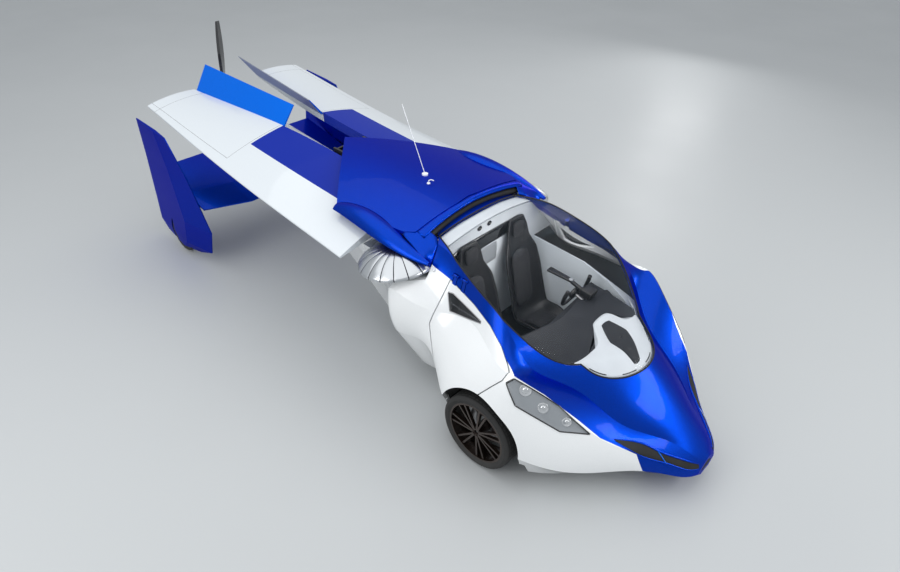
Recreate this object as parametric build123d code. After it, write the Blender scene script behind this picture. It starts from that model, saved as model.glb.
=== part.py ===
from build123d import *
import math
import os

# A two-seat flying car, parked with its wings folded back over its tail boom.
# Millimetres. Nose towards -Y, the vehicle's left side towards +X, ground at Z = 0.

# Overall stations along the length
CABIN_END_Y = -640.0
TAIL_END_Y = 2820.0

# Skins and general clearances
SKIN = 34.0              # outer panels
DOOR_ROOM = 5.5          # between a door and the tub inside it
PANEL_GAP = 9.0          # between a door and its neighbours
SEAT_GAP = 0.3           # between pieces that touch
PIN_GAP = 0.06           # radial, between a pin and its bore
GLASS = 12.0

# Wheels
TYRE_R = 310.0
TYRE_W = 205.0
RIM_R = 252.0
WHEEL_X = 927.0          # wheel centre from the middle plane
WHEEL_Y = -1680.0
ARCH_R = 374.0
WELL_R = 400.0
WELL_X = 648.0
KINGPIN_X = 812.0
KINGPIN_R = 14.0
SPINDLE_R = 20.0
KING_HALF = 84.0         # half height of the knuckle between its arms
EYE_T = 22.0
SPOKES = 7
SPOKE_SPLIT = 8.0
REAR_TYRE_R = 190.0
REAR_TYRE_W = 66.0
REAR_WHEEL_X = 1003.0
REAR_WHEEL_Y = 2500.0
REAR_SPINDLE_R = 12.0

# Wing hinges: a point on the axis, the axis itself and the dome that turns on it
HINGE_X = 686.0
HINGE_Y = -560.0
HINGE_Z = 1150.0
HINGE_LEAN_OUT = 5.0     # degrees
HINGE_LEAN_AFT = 8.7
DOME_R = 323.0
DOME_WALL = 10.0
DOME_H = 118.0
HINGE_PIN_R = 30.0

# Propeller
PROP_Y = 2958.0
PROP_Z = 1270.0
PROP_R = 840.0
PROP_REST = 4.0          # degrees from upright
PROP_SHAFT_R = 22.0

# Doors
DOOR_HINGE_X = 642.0
DOOR_HINGE_Z = 1244.0
DOOR_LOW_Z = 333.0
DOOR_PIN_R = 5.0
STRAP_R = 11.0
STRAP_HALF = 15.0
STRAP_ROOM = 5.5
STRAP_LUG = 10.0
STRAPS = [(-1200, 480), (-1110, 512)]    # y, and z - x where the strap joins its door

# Hull sections from the nose to the back of the cabin. Half widths and heights:
# y, floor z, floor half width, widest x and z, crest x and z, glass foot x and z, top z
HULL = [
    (-3010, 150, 60, 120, 200, 100, 240, 55, 268, 290),
    (-2860, 140, 190, 300, 230, 250, 320, 150, 385, 425),
    (-2640, 130, 360, 500, 260, 450, 420, 290, 470, 600),
    (-2400, 115, 580, 770, 270, 655, 590, 420, 570, 770),
    (-2160, 105, 820, 940, 300, 758, 778, 490, 700, 925),
    (-1880, 105, 930, 1035, 350, 880, 920, 690, 872, 1095),
    (-1680, 110, 960, 1055, 420, 852, 925, 702, 1075, 1215),
    (-1430, 115, 930, 1045, 430, 748, 985, 668, 1215, 1325),
    (-1145, 130, 700, 890, 560, 742, 968, 612, 1305, 1385),
    (-900, 150, 600, 850, 660, 862, 1000, 548, 1345, 1402),
    (CABIN_END_Y, 165, 560, 830, 700, 890, 1010, 500, 1345, 1395),
]
# Cabin cavity: y, floor z, floor half width, waist x and z
CABIN_REAR_Y = -890.0
CABIN = [
    (-2160, 420, 330, 400, 600),
    (-1880, 260, 470, 540, 700),
    (-1680, 190, 560, 590, 720),
    (-1145, 185, 560, 600, 700),
    (CABIN_REAR_Y, 210, 540, 590, 720),
]
BELT = [(-2230, 2000), (-2230, 660), (-1880, 800), (-1430, 920), (-640, 960), (-640, 2000)]
JACK_X = 220.0
JACK_PADS = [(-2000, 92), (-800, 146)]   # y and the height of the flat underside
POCKET_GAP = 6.0
POCKET_LOW = -50.0       # pocket floor, measured along the hinge from its point
POCKET_DEEP = 220.0

# The edge between the blue upper shell and the white lower body, as x, y, z on the skin
BORDER = [
    (340, -2740, 150),
    (440, -2660, 400),
    (620, -2454, 551),
    (710, -2289, 693),
    (790, -2081, 822),
    (880, -1877, 922),
    (790, -1750, 927),
    (758, -1677, 980),
    (735, -1530, 1078),
    (730, -1334, 1176),
    (686, -1099, 1225),
    (696, -903, 1274),
    (640, -620, 1310),
]
# Door outline on the skin, below the border
DOOR_TOP = [
    (870, -1830, 915),
    (790, -1750, 927),
    (758, -1677, 980),
    (735, -1530, 1078),
    (730, -1334, 1176),
    (686, -1070, 1232),
]
DOOR_REST = [
    (720, -1050, 1020),
    (800, -1030, 830),
    (860, -1107, 593),
    (920, -1113, 200),
    (1040, -1500, 200),
    (1030, -1600, 590),
    (915, -1812, 858),
]
WINDOW = [
    (732, -1145, 985),
    (700, -1085, 1120),
    (716, -1130, 1150),
    (732, -1440, 1062),
    (726, -1440, 1035),
]

HEADLIGHT = [
    (662, -2400, 578),
    (714, -2289, 672),
    (750, -2183, 757),
    (790, -2081, 808),
    (840, -1987, 862),
    (885, -1885, 905),
    (915, -1845, 860),
    (940, -1955, 737),
    (830, -2245, 625),
]

# Wing sections, folded: y, inner edge x, top z and depth, front edge x and z
WING = [
    (-236.7, 215, 1382, 84, 1014, 1168),
    (700, 208, 1438, 96, 984, 1228),
    (1500, 236, 1482, 100, 955, 1296),
    (2300, 316, 1502, 80, 928, 1398),
    (2870, 385, 1518, 56, 908, 1474),
]
WING_NOSE = 16.0
WING_CROWN = 22.0

# Flap: hinge line ends on the wing's inner edge, chord at each end and its raised angle
FLAP_FRONT = (236.0, 1520.0, 1484.0)
FLAP_REAR = (378.0, 2840.0, 1516.0)
FLAP_CHORD_FRONT = 220.0
FLAP_CHORD_REAR = 285.0
FLAP_UP = 52.0           # degrees above level at rest
FLAP_T = 22.0
FLAP_RAKE = 50.0
FLAP_ROOM = 3.0
TROUGH_GAP = 0.5

# Rear body and tail boom: y, floor z, floor half width, widest x and z, shoulder x and z, top z
BOOM = [
    (CABIN_END_Y + SEAT_GAP, 168, 540, 800, 690, 860, 1000, 1120),
    (-240, 215, 430, 560, 650, 600, 960, 1100),
    (500, 370, 250, 340, 720, 330, 960, 1130),
    (1500, 600, 130, 200, 850, 190, 1080, 1270),
    (2400, 780, 80, 140, 980, 130, 1190, 1340),
    (TAIL_END_Y, 1130, 60, 100, 1230, 92, 1310, 1360),
]
BAY_X = 150.0            # engine bay half width
BAY_END_Y = 760.0
BAY_FLOOR_Z = 520.0
ENGINE_Y0 = -380.0
ENGINE_Y1 = 330.0
ENGINE_TOP_Z = 880.0
PIN_FOOT = -190.0
PIN_TOP = 128.0
SLEEVE_LOW = -30.0
DECK_T = 26.0
DECK = [  # y, half width, edge z, top z
    (-655, 640, 1395, 1475),
    (224, 720, 1385, 1488),
    (895, 720, 1400, 1494),
]
DECK_OUTLINE = [(0, -640), (575, -700), (660, -560), (705, -200), (720, 135), (637, 224), (0, 890)]
BULGE = [  # y, x, half width, foot z, top z
    (-900, 706, 16, 1268, 1290),
    (-620, 712, 78, 1300, 1364),
    (-256, 690, 105, 1334, 1425),
    (135, 705, 62, 1346, 1384),
]
SPINE_X = 180.0
SPINE_T = 18.0

# Tail
FIN = [  # z at the front and the rear, front y, rear y, thickness, x
    (84, 84, 2200, 2880, 120, 1000),
    (180, 180, 1960, 2995, 150, 1000),
    (460, 460, 1866, 2975, 146, 1004),
    (980, 980, 2110, 2920, 84, 1022),
    (1349, 1392, 2330, 2868, 34, 1048),
]
FIN_EDGE = 5.0
FIN_THICKEST = 0.36      # share of the chord
REAR_TYRE_ROOM = 6.0
REAR_RIM_R = 120.0
TAILPLANE = [  # x, leading edge y and z, trailing edge y and z
    (0, 1640, 790, 2800, 850),
    (560, 1760, 700, 2810, 840),
    (955, 2030, 640, 2830, 830),
]
TAILPLANE_T = 46.0

# Cabin
SEAT_X = 292.0
SEAT_W = 430.0
# Side outline of a seat, y and z
SEAT = [(-1480, 188.6), (-1480, 430), (-1440, 460), (-1110, 420), (-960, 1000), (-920, 1290),
        (CABIN_REAR_Y - SEAT_GAP, 1290), (-905, 1000), (-1000, 380), (-1010, 198.8), (-1145, 185.5)]
DASH_W = 1200.0
DASH = [(-2000, 560), (-2000, 700), (-1700, 780), (-1640, 740), (-1640, 640), (-1800, 560)]
YOKE_X = 300.0
YOKE_Y = -1560.0
YOKE_Z = 822.0
COLUMN_R = 12.0
BLADE = [  # radius, chord, thickness, twist
    (50, 90, 40, 60),
    (300, 130, 22, 38),
    (600, 110, 14, 24),
    (PROP_R, 60, 8, 18),
]

nodes = {}


def keep(name, shape):
    """Store a node's solid or solids under its plain name."""
    nodes[name] = shape


def both(name, left):
    """Store the left piece and its mirror image on the right."""
    keep(name + "_left", left)
    keep(name + "_right", left.mirror(Plane.YZ))


def fused(first, *rest):
    """One shape from several, whatever the count."""
    shape = first
    for other in rest:
        shape = shape + other
    return shape


def box(x0, x1, y0, y1, z0, z1):
    """A plain block between two corners."""
    centre = ((x0 + x1) / 2, (y0 + y1) / 2, (z0 + z1) / 2)
    return Pos(*centre) * Box(x1 - x0, y1 - y0, z1 - z0)


def cylinder(centre, axis, radius, length):
    """A round bar centred on a point, along any axis."""
    plane = Plane(origin=centre, z_dir=axis)
    return plane * Cylinder(radius, length)


def mitre(points, wall):
    """Move a closed outline inwards by wall. Points run anticlockwise as (x, z)."""
    moved = []
    count = len(points)
    for i in range(count):
        ax, az = points[i - 1]
        bx, bz = points[i]
        cx, cz = points[(i + 1) % count]
        ux, uz = bx - ax, bz - az
        vx, vz = cx - bx, cz - bz
        ul, vl = math.hypot(ux, uz), math.hypot(vx, vz)
        nx, nz = -uz / ul - vz / vl, ux / ul + vx / vl
        scale = nx * nx + nz * nz
        moved.append((bx + 2 * wall * nx / scale, bz + 2 * wall * nz / scale))
    return moved


def ring(y, half, crown):
    """Closed section wire: half outline from the floor up, mirrored, with an arc over the top.
    half is [floor, widest, crest, foot] as (x, z) and crown the top height."""
    left = [Vector(x, y, z) for x, z in half]
    right = [Vector(-x, y, z) for x, z in half]
    top = Vector(0, y, crown)
    edges = [
        Edge.make_line(right[0], left[0]),
        Edge.make_line(left[0], left[1]),
        bowed(left[1], left[2], y),
        Edge.make_line(left[2], left[3]),
        Edge.make_three_point_arc(left[3], top, right[3]),
        Edge.make_line(right[3], right[2]),
        bowed(right[2], right[1], y),
        Edge.make_line(right[1], right[0]),
    ]
    return Wire(edges)


def bowed(a, b, y):
    """An arc from a to b that stands a twelfth of its length outside the straight line."""
    mid = (a + b) / 2
    out = Vector(abs(b.Z - a.Z), 0, abs(b.X - a.X)) * (1 / 12)
    side = 1 if mid.X > 0 else -1
    return Edge.make_three_point_arc(a, Vector(mid.X + side * out.X, y, mid.Z + out.Z), b)


def hull_half(row, wall):
    """Half outline of a hull section, moved inwards by wall."""
    y, zb, wb, wm, zm, wc, zc, wv, zv, zt = row
    half = [(wb, zb), (wm, zm), (wc, zc), (wv, zv)]
    if wall:
        loop = half + [(0, zt)] + [(-x, z) for x, z in reversed(half)]
        moved = mitre(loop, wall)
        half = moved[:4]
        zt = zt - wall
    return half, zt


def hull(wall=0.0, rows=HULL):
    """The hull loft, or the same form inside a wall."""
    wires = []
    for row in rows:
        half, top = hull_half(row, wall)
        wires.append(ring(row[0], half, top))
    return Solid.make_loft(wires)


def cavity(gap=0.0):
    """The space inside the tub: floor, waist and open top, straight between its sections,
    or what fits in it with a gap all round."""
    wires = []
    for y, floor_z, floor_x, waist_x, waist_z in CABIN:
        wires.append(Wire.make_polygon([
            (gap - floor_x, y, floor_z + gap), (floor_x - gap, y, floor_z + gap),
            (waist_x - gap, y, waist_z), (waist_x - gap + 20, y, 1600),
            (gap - waist_x - 20, y, 1600), (gap - waist_x, y, waist_z)]))
    return Solid.make_loft(wires, ruled=True)


def slanted(points, grow=0.0):
    """Prism through skin points, run out along the diagonal between outwards and upwards,
    on the left side. Its section plane holds y and z - x."""
    plane = Plane(origin=(0, 0, 0), x_dir=(0, 1, 0), z_dir=(1, 0, 1))
    flat = [(y, (z - x) / math.sqrt(2)) for x, y, z in points]
    sign = plane.y_dir.Z
    flat = [(u, v * math.copysign(1, sign)) for u, v in flat]
    face = Face(Wire.make_polygon([plane.from_local_coords(Vector(u, v, 0)) for u, v in flat]))
    if grow:
        sketch = offset(Sketch() + plane.to_local_coords(face), grow, kind=Kind.INTERSECTION)
        face = (plane * sketch).face()
    return extrude(face, 2600, dir=(1, 0, 1)) + extrude(face, 2600, dir=(-1, 0, -1))


def disc_y(y, z, radius, x0, x1):
    """A round bar along X."""
    return cylinder(((x0 + x1) / 2, y, z), (1, 0, 0), radius, x1 - x0)


def hinge_axis():
    """Direction of the left wing's hinge."""
    out = math.tan(math.radians(HINGE_LEAN_OUT))
    aft = math.tan(math.radians(HINGE_LEAN_AFT))
    return Vector(out, aft, 1).normalized()


def glass_prism():
    """Vertical prism of the windscreen's outline."""
    with BuildSketch() as sk:
        with BuildLine():
            ThreePointArc((392, -2100), (0, -2412), (-392, -2100))
            ThreePointArc((392, -2100), (600, -1865), (688, -1600))
            ThreePointArc((688, -1600), (655, -1330), (588, -1050))
            Line((588, -1050), (462, -760))
            ThreePointArc((462, -760), (0, -770), (-462, -760))
            Line((-462, -760), (-588, -1050))
            ThreePointArc((-588, -1050), (-655, -1330), (-688, -1600))
            ThreePointArc((-688, -1600), (-600, -1865), (-392, -2100))
        make_face()
    return extrude(sk.sketch, 2000)


def make_body():
    """Upper shell, windscreen, fenders, doors and tub, all cut from one hull."""
    outer = hull()
    inner = hull(SKIN)
    core = hull(SKIN + SEAT_GAP)
    thin = hull(GLASS)
    cabin = cavity()
    half = box(0, 1500, -3200, -500, -100, 2000)
    well = disc_y(WHEEL_Y - 10, TYRE_R, WELL_R, WELL_X, 1200)
    arch = disc_y(WHEEL_Y, TYRE_R, ARCH_R, WELL_X, 1200)
    wells = well + well.mirror(Plane.YZ)
    under = box(WELL_X, 1005, WHEEL_Y - 400, WHEEL_Y + 380, 0, 220)
    skin = outer - inner

    low = [(1500, -500, -500), (1500, -2760, -500)]
    white = slanted(BORDER + [(640, -560, 1310)] + low) & half
    whites = white + white.mirror(Plane.YZ)
    screen = glass_prism() & box(-900, 900, -2600, -600, 700, 2000)
    pocket = wing_pocket()
    pockets = pocket + pocket.mirror(Plane.YZ)

    above = box(550, 1500, -3200, -500, 155, 2000)
    door_box = box(550, 1500, -3200, -500, DOOR_LOW_Z + PANEL_GAP / 2, 2000)
    hole_box = box(550, 1500, -3200, -500, DOOR_LOW_Z - PANEL_GAP / 2, 2000)
    door_cut = slanted(DOOR_TOP + DOOR_REST, -PANEL_GAP / 2) & door_box
    door_hole = slanted(DOOR_TOP + DOOR_REST, PANEL_GAP / 2) & hole_box
    straps, slots, lugs, rooms = door_hinges(skin, above)
    keep("windscreen", ((outer - thin) & screen) - rooms - rooms.mirror(Plane.YZ))
    shell = skin - whites - screen - pockets - slots - slots.mirror(Plane.YZ)
    keep("upper_shell", fused(shell, lugs, lugs.mirror(Plane.YZ)))
    window = slanted(WINDOW) & above
    lamp = slanted(HEADLIGHT) & above
    side = skin & white
    panel = (side & door_cut) - hull(SKIN - DOOR_ROOM)
    both("door", fused(panel - window - arch, straps))
    both("door_window", hull_pane(outer, thin, window))
    both("headlight", side & lamp)

    lower = side - door_hole - arch - under - lamp
    both("fender", lower & box(300, 1500, -3200, -1195, -100, 2000))
    rear_side = lower & box(300 + SEAT_GAP, 1500, -1195 + SEAT_GAP, -500, -100, 2000)
    both("quarter_panel", rear_side - pocket)
    floor = (skin & whites) & box(-300 + SEAT_GAP, 300 - SEAT_GAP, -3200, -500, 0, 400)
    for y, z in JACK_PADS:
        pad = box(JACK_X - 40, JACK_X + 40, y - 40, y + 40, z, z + 40)
        floor = fused(floor, pad, pad.mirror(Plane.YZ))
    keep("floor_pan", floor)

    belt = Face(Wire.make_polygon([(0, y, z) for y, z in BELT]))
    above_belt = extrude(belt, 1500, dir=(1, 0, 0), both=True)
    tub = core - cabin - wells - above_belt - pockets
    keep("body_tub", tub)
    wall = core & above_belt & box(-900, 900, CABIN_REAR_Y, CABIN_REAR_Y + 18, 700, 1500)
    keep("bulkhead", wall - pockets)


def door_hinges(skin, above):
    """The left door's straps, the shell's slots for them, the lugs with the pins, and their room."""
    straps, slots, lugs, rooms = [], [], [], []
    top = DOOR_HINGE_Z - DOOR_HINGE_X
    for y, low in STRAPS:
        eye = Vector(DOOR_HINGE_X, y, DOOR_HINGE_Z)
        a, b = y - STRAP_HALF, y + STRAP_HALF
        strap = skin & slanted([(0, a, top), (0, b, top), (0, b, low), (0, a, low)]) & above
        strap = strap + cylinder(eye, (0, 1, 0), STRAP_R, 2 * STRAP_HALF)
        straps.append(strap - cylinder(eye, (0, 1, 0), DOOR_PIN_R + PIN_GAP, 3 * STRAP_HALF))
        a, b, low = a - STRAP_ROOM, b + STRAP_ROOM, low - 60
        slot = slanted([(0, a, top), (0, b, top), (0, b, low), (0, a, low)]) & above
        slots.append(slot + cylinder(eye, (0, 1, 0), STRAP_R + STRAP_ROOM, b - a))
        for side in (-1, 1):
            middle = y + side * (STRAP_HALF + STRAP_ROOM + STRAP_LUG / 2)
            lugs.append(cylinder((eye.X, middle, eye.Z), (0, 1, 0), STRAP_R, STRAP_LUG))
        lugs.append(cylinder(eye, (0, 1, 0), DOOR_PIN_R, b - a + STRAP_LUG))
        reach = b - a + 2 * (STRAP_LUG + SEAT_GAP)
        rooms.append(cylinder(eye, (0, 1, 0), STRAP_R + STRAP_ROOM, reach))
    return fused(*straps), fused(*slots), fused(*lugs), fused(*rooms)


def hull_pane(outer, thin, window):
    """A side window: the pane's thickness of the hull, inside the window's outline."""
    return (outer - thin) & window


def wing_pocket():
    """Round pocket in the body that the left wing's root fan turns in."""
    axis = hinge_axis()
    foot = Vector(HINGE_X, HINGE_Y, HINGE_Z) + axis * (POCKET_LOW + POCKET_DEEP / 2)
    return cylinder(foot, axis, DOME_R + POCKET_GAP, POCKET_DEEP)


def make_rear():
    """Rear body with the tail boom in one, its engine bay, spine, deck and hinge pins."""
    wires = []
    for y, zb, wb, wm, zm, ws, zs, zt in BOOM:
        wires.append(ring(y, [(wb, zb), (wm, zm), (ws, zs), (0.6 * ws, zs + 0.75 * (zt - zs))], zt))
    boom = Solid.make_loft(wires)
    pocket = wing_pocket()
    pockets = pocket + pocket.mirror(Plane.YZ)
    bay = box(-BAY_X, BAY_X, -600, BAY_END_Y, BAY_FLOOR_Z, 2000)
    boom = boom - bay - pockets
    axis = hinge_axis()
    pin = cylinder(Vector(HINGE_X, HINGE_Y, HINGE_Z) + axis * ((PIN_TOP + PIN_FOOT) / 2),
                   axis, HINGE_PIN_R, PIN_TOP - PIN_FOOT)
    foot = cylinder(Vector(HINGE_X, HINGE_Y, HINGE_Z) + axis * (PIN_FOOT + 60), axis, 70, 80)
    boss = pin + foot
    boom = fused(boom, boss, boss.mirror(Plane.YZ))

    mass = deck_mass()
    outline = Face(Wire.make_polygon([(x, y, 0) for x, y in DECK_OUTLINE]
                                     + [(-x, y, 0) for x, y in DECK_OUTLINE[::-1][1:-1]]))
    prism = extrude(outline, 2000, dir=(0, 0, 1))
    deck = (mass - mass.moved(Location((0, 0, -DECK_T)))) & prism
    blister = make_bulge()
    deck = fused(deck, blister, blister.mirror(Plane.YZ))
    under = mass.moved(Location((0, 0, -DECK_T - SEAT_GAP)))
    wall = box(SPINE_X - SPINE_T, SPINE_X, -600, 840, 900, 1600)
    spine = fused(wall, wall.mirror(Plane.YZ)) & under
    spine = fused(spine, box(-SPINE_X, SPINE_X, 790, 790 + SPINE_T, 900, 1600) & under)
    spine = spine - boom
    keep("spine", spine)
    keep("rear_deck", deck)
    block = box(-BAY_X + 12, BAY_X - 12, ENGINE_Y0, ENGINE_Y1, BAY_FLOOR_Z + SEAT_GAP, ENGINE_TOP_Z)
    keep("engine_block", block)
    tail = make_tailplane()
    fin = make_fin()
    boom = boom - tail
    start, end = TAIL_END_Y - 30, PROP_Y + 20
    shaft = cylinder((0, (start + end) / 2, PROP_Z), (0, 1, 0), PROP_SHAFT_R, end - start)
    keep("rear_body", boom + shaft)
    keep("tailplane", tail - fin - fin.mirror(Plane.YZ))
    both("fin", fin)
    whip = cylinder((0, -153, 1482), (0, 0, 1), 26, 28)
    rod = Edge.make_line((0, -153, 1490), (0, 109, 2026))
    whip = whip + cylinder(rod.center(), rod % 0.5, 3, rod.length)
    keep("antenna", whip - mass)


def deck_mass():
    """The block whose crowned top is the deck's outer face."""
    wires = []
    for y, half, edge_z, top_z in DECK:
        a, b = Vector(-half, y, 900), Vector(half, y, 900)
        c, d = Vector(half, y, edge_z), Vector(-half, y, edge_z)
        wires.append(Wire([Edge.make_line(a, b), Edge.make_line(b, c),
                           Edge.make_three_point_arc(c, Vector(0, y, top_z), d), Edge.make_line(d, a)]))
    return Solid.make_loft(wires)


def make_bulge():
    """Raised cover over the left wing hinge."""
    wires = []
    for y, x, half, z0, z1 in BULGE:
        a, b = Vector(x - half, y, z0), Vector(x + half, y, z0)
        wires.append(Wire([Edge.make_line(a, b), Edge.make_three_point_arc(b, Vector(x, y, z1), a)]))
    return Solid.make_loft(wires)


def make_fin():
    """Left fin with the spat over its wheel and the wheel's spindle."""
    wires = []
    for z0, z1, y0, y1, thick, x in FIN:
        ym, zm = y0 + FIN_THICKEST * (y1 - y0), z0 + FIN_THICKEST * (z1 - z0)
        half = thick / 2
        wires.append(Wire.make_polygon([
            (x - FIN_EDGE, y0, z0), (x + FIN_EDGE, y0, z0), (x + half, ym, zm),
            (x + FIN_EDGE, y1, z1), (x - FIN_EDGE, y1, z1), (x - half, ym, zm)]))
    fin = Solid.make_loft(wires, ruled=True)
    room = REAR_TYRE_W / 2 + REAR_TYRE_ROOM
    slot = disc_y(REAR_WHEEL_Y, REAR_TYRE_R, REAR_TYRE_R + 12, REAR_WHEEL_X - room, REAR_WHEEL_X + room)
    spindle = disc_y(REAR_WHEEL_Y, REAR_TYRE_R, REAR_SPINDLE_R, REAR_WHEEL_X - 44, REAR_WHEEL_X + 44)
    return fin - slot + spindle


def make_tailplane():
    """Tailplane from one fin to the other, under the boom."""
    wires = []
    rows = [(-x, *rest) for x, *rest in TAILPLANE[::-1][:-1]] + TAILPLANE
    for x, y0, z0, y1, z1 in rows:
        ym, zm = y0 + 0.35 * (y1 - y0), z0 + 0.35 * (z1 - z0)
        half = TAILPLANE_T / 2
        wires.append(Wire.make_polygon([
            (x, y0, z0 - 6), (x, ym, zm - half), (x, y1, z1 - 4),
            (x, y1, z1 + 4), (x, ym, zm + half), (x, y0, z0 + 6)]))
    return Solid.make_loft(wires, ruled=True)


def wing_section(row):
    """Closed section of the folded left wing: thick inner edge, rounded nose outboard."""
    y, xi, zi, depth, xo, zo = row
    inner_top, inner_low = Vector(xi, y, zi), Vector(xi + 6, y, zi - depth)
    nose_top, nose_low = Vector(xo - 5, y, zo + WING_NOSE / 2), Vector(xo - 5, y, zo - WING_NOSE / 2)
    mid_top = (inner_top + nose_top) / 2 + Vector(0, 0, WING_CROWN)
    mid_low = (inner_low + nose_low) / 2 - Vector(0, 0, WING_CROWN * 0.4)
    return Wire([
        Edge.make_three_point_arc(inner_top, mid_top, nose_top),
        Edge.make_three_point_arc(nose_top, Vector(xo, y, zo), nose_low),
        Edge.make_three_point_arc(nose_low, mid_low, inner_low),
        Edge.make_line(inner_low, inner_top)])


def make_wing():
    """Left wing, its root fan and its flap."""
    wing = Solid.make_loft([wing_section(row) for row in WING])
    axis = hinge_axis()
    plane = Plane(origin=(HINGE_X, HINGE_Y, HINGE_Z), z_dir=axis)
    inner_r, inner_h = DOME_R - DOME_WALL, DOME_H - DOME_WALL
    profile = Wire([
        Edge.make_line((DOME_R, 0, 0), (DOME_R, 0, 14)),
        Edge.make_three_point_arc((DOME_R, 0, 14), (0.72 * DOME_R, 0, 0.72 * DOME_H), (44, 0, DOME_H)),
        Edge.make_line((44, 0, DOME_H), (44, 0, inner_h)),
        Edge.make_three_point_arc((44, 0, inner_h), (0.72 * inner_r, 0, 0.72 * inner_h - 4), (inner_r, 0, 0)),
        Edge.make_line((inner_r, 0, 0), (DOME_R, 0, 0))])
    dome = revolve(Face(profile), Axis.Z, 360)
    sleeve = Pos(0, 0, (DOME_H + SLEEVE_LOW) / 2) * Cylinder(50, DOME_H - SLEEVE_LOW)
    fan = plane * fused(dome, sleeve)
    stub = box(600, 780, HINGE_Y, WING[0][0], 1140, 1192)
    fan = fan + stub
    bore = cylinder(plane.origin, axis, HINGE_PIN_R + PIN_GAP, 400)
    both("wing_root_fan", fan - bore)

    a, b = Vector(*FLAP_FRONT), Vector(*FLAP_REAR)
    along = (b - a).normalized()
    off = Vector(-FLAP_T / 2 - SEAT_GAP, 0, -FLAP_T / 2)
    a, b = a + off, b + off
    lean = math.radians(FLAP_UP)
    chord = Vector(-math.cos(lean), 0, math.sin(lean))
    normal = along.cross(chord).normalized()
    half, tip = FLAP_T / 2, 4.0

    def slab(grow):
        ends = []
        for base, run, shift in ((a, FLAP_CHORD_FRONT, 0), (b, FLAP_CHORD_REAR, FLAP_RAKE)):
            thick, edge = normal * (half + grow), normal * (tip + grow)
            far = base + chord * run + along * shift
            ends.append(Wire.make_polygon([base - thick, base + thick, far + edge, far - edge]))
        return Solid.make_loft(ends, ruled=True)
    barrel = cylinder((a + b) / 2, along, half, (b - a).length)
    both("flap", fused(slab(0), barrel))
    trough = cylinder((a + b) / 2, along, half + TROUGH_GAP, (b - a).length + 40)
    both("wing", wing - trough - slab(FLAP_ROOM))


def make_wheels():
    """Front wheels on their knuckles and arms, rear wheels on the fins' spindles."""
    plane = Plane(origin=(WHEEL_X, WHEEL_Y, TYRE_R), x_dir=(0, 1, 0), z_dir=(1, 0, 0))
    half = TYRE_W / 2
    with BuildSketch(Plane.XZ) as sk:
        with BuildLine():
            Polyline((RIM_R, -half + 14), (RIM_R, half - 14), (RIM_R + 14, half - 6), (RIM_R + 30, half))
            ThreePointArc((RIM_R + 30, half), (TYRE_R - 6, half - 14), (TYRE_R, half - 34))
            Line((TYRE_R, half - 34), (TYRE_R, 34 - half))
            ThreePointArc((TYRE_R, 34 - half), (TYRE_R - 6, 14 - half), (RIM_R + 30, -half))
            Polyline((RIM_R + 30, -half), (RIM_R + 14, 6 - half), (RIM_R, 14 - half))
        make_face()
    tyre = plane * revolve(sk.sketch, Axis.Z, 360)
    both("tyre_front", tyre)

    barrel = Cylinder(RIM_R, 2 * (half - 14)) - Cylinder(RIM_R - 14, 2 * half)
    hub = Pos(0, 0, 4) * Cylinder(46, 2 * half - 60)
    rim = fused(barrel, hub)
    for i in range(SPOKES):
        for side in (-1, 1):
            arm = Pos((RIM_R + 20) / 2, 0, half - 34) * Box(RIM_R - 40, 15, 26)
            rim = rim + Rot(0, 0, 360 / SPOKES * i + side * SPOKE_SPLIT) * arm
    rim = rim - Cylinder(SPINDLE_R + PIN_GAP, 2 * half)
    both("wheel_front", plane * rim)

    king = Vector(KINGPIN_X, WHEEL_Y, TYRE_R)
    upright = box(KINGPIN_X - 18, KINGPIN_X + 18, WHEEL_Y - 34, WHEEL_Y + 34,
                  TYRE_R - KING_HALF, TYRE_R + KING_HALF)
    spindle = disc_y(WHEEL_Y, TYRE_R, SPINDLE_R, KINGPIN_X, WHEEL_X + half - 40)
    pins = cylinder(king, (0, 0, 1), KINGPIN_R, 2 * (KING_HALF + EYE_T))
    both("knuckle", fused(upright, spindle, pins))
    arms = None
    for side in (-1, 1):
        z = TYRE_R + side * (KING_HALF + SEAT_GAP + EYE_T / 2)
        arm = box(WELL_X + SEAT_GAP, KINGPIN_X, WHEEL_Y - 24, WHEEL_Y + 24, z - EYE_T / 2, z + EYE_T / 2)
        eye = cylinder((KINGPIN_X, WHEEL_Y, z), (0, 0, 1), 30, EYE_T)
        piece = fused(arm, eye) - cylinder(king, (0, 0, 1), KINGPIN_R + PIN_GAP, 600)
        arms = piece if arms is None else arms + piece
    web = box(WELL_X + SEAT_GAP, WELL_X + 16, WHEEL_Y - 24, WHEEL_Y + 24, TYRE_R - KING_HALF - EYE_T,
              TYRE_R + KING_HALF + EYE_T)
    both("suspension_arm", arms + web)

    plane = Plane(origin=(REAR_WHEEL_X, REAR_WHEEL_Y, REAR_TYRE_R), x_dir=(0, 1, 0), z_dir=(1, 0, 0))
    tyre = Cylinder(REAR_TYRE_R, REAR_TYRE_W) - Cylinder(REAR_RIM_R, REAR_TYRE_W)
    tyre = fillet(tyre.edges().filter_by(GeomType.CIRCLE).group_by(SortBy.RADIUS)[-1], 18)
    both("tyre_rear", plane * tyre)
    rim = Cylinder(REAR_RIM_R, REAR_TYRE_W - 8) - Cylinder(REAR_RIM_R - 12, REAR_TYRE_W)
    rim = fused(rim, Cylinder(26, REAR_TYRE_W - 4), Cylinder(REAR_RIM_R - 6, 10))
    both("wheel_rear", plane * (rim - Cylinder(REAR_SPINDLE_R + PIN_GAP, REAR_TYRE_W)))


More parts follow.
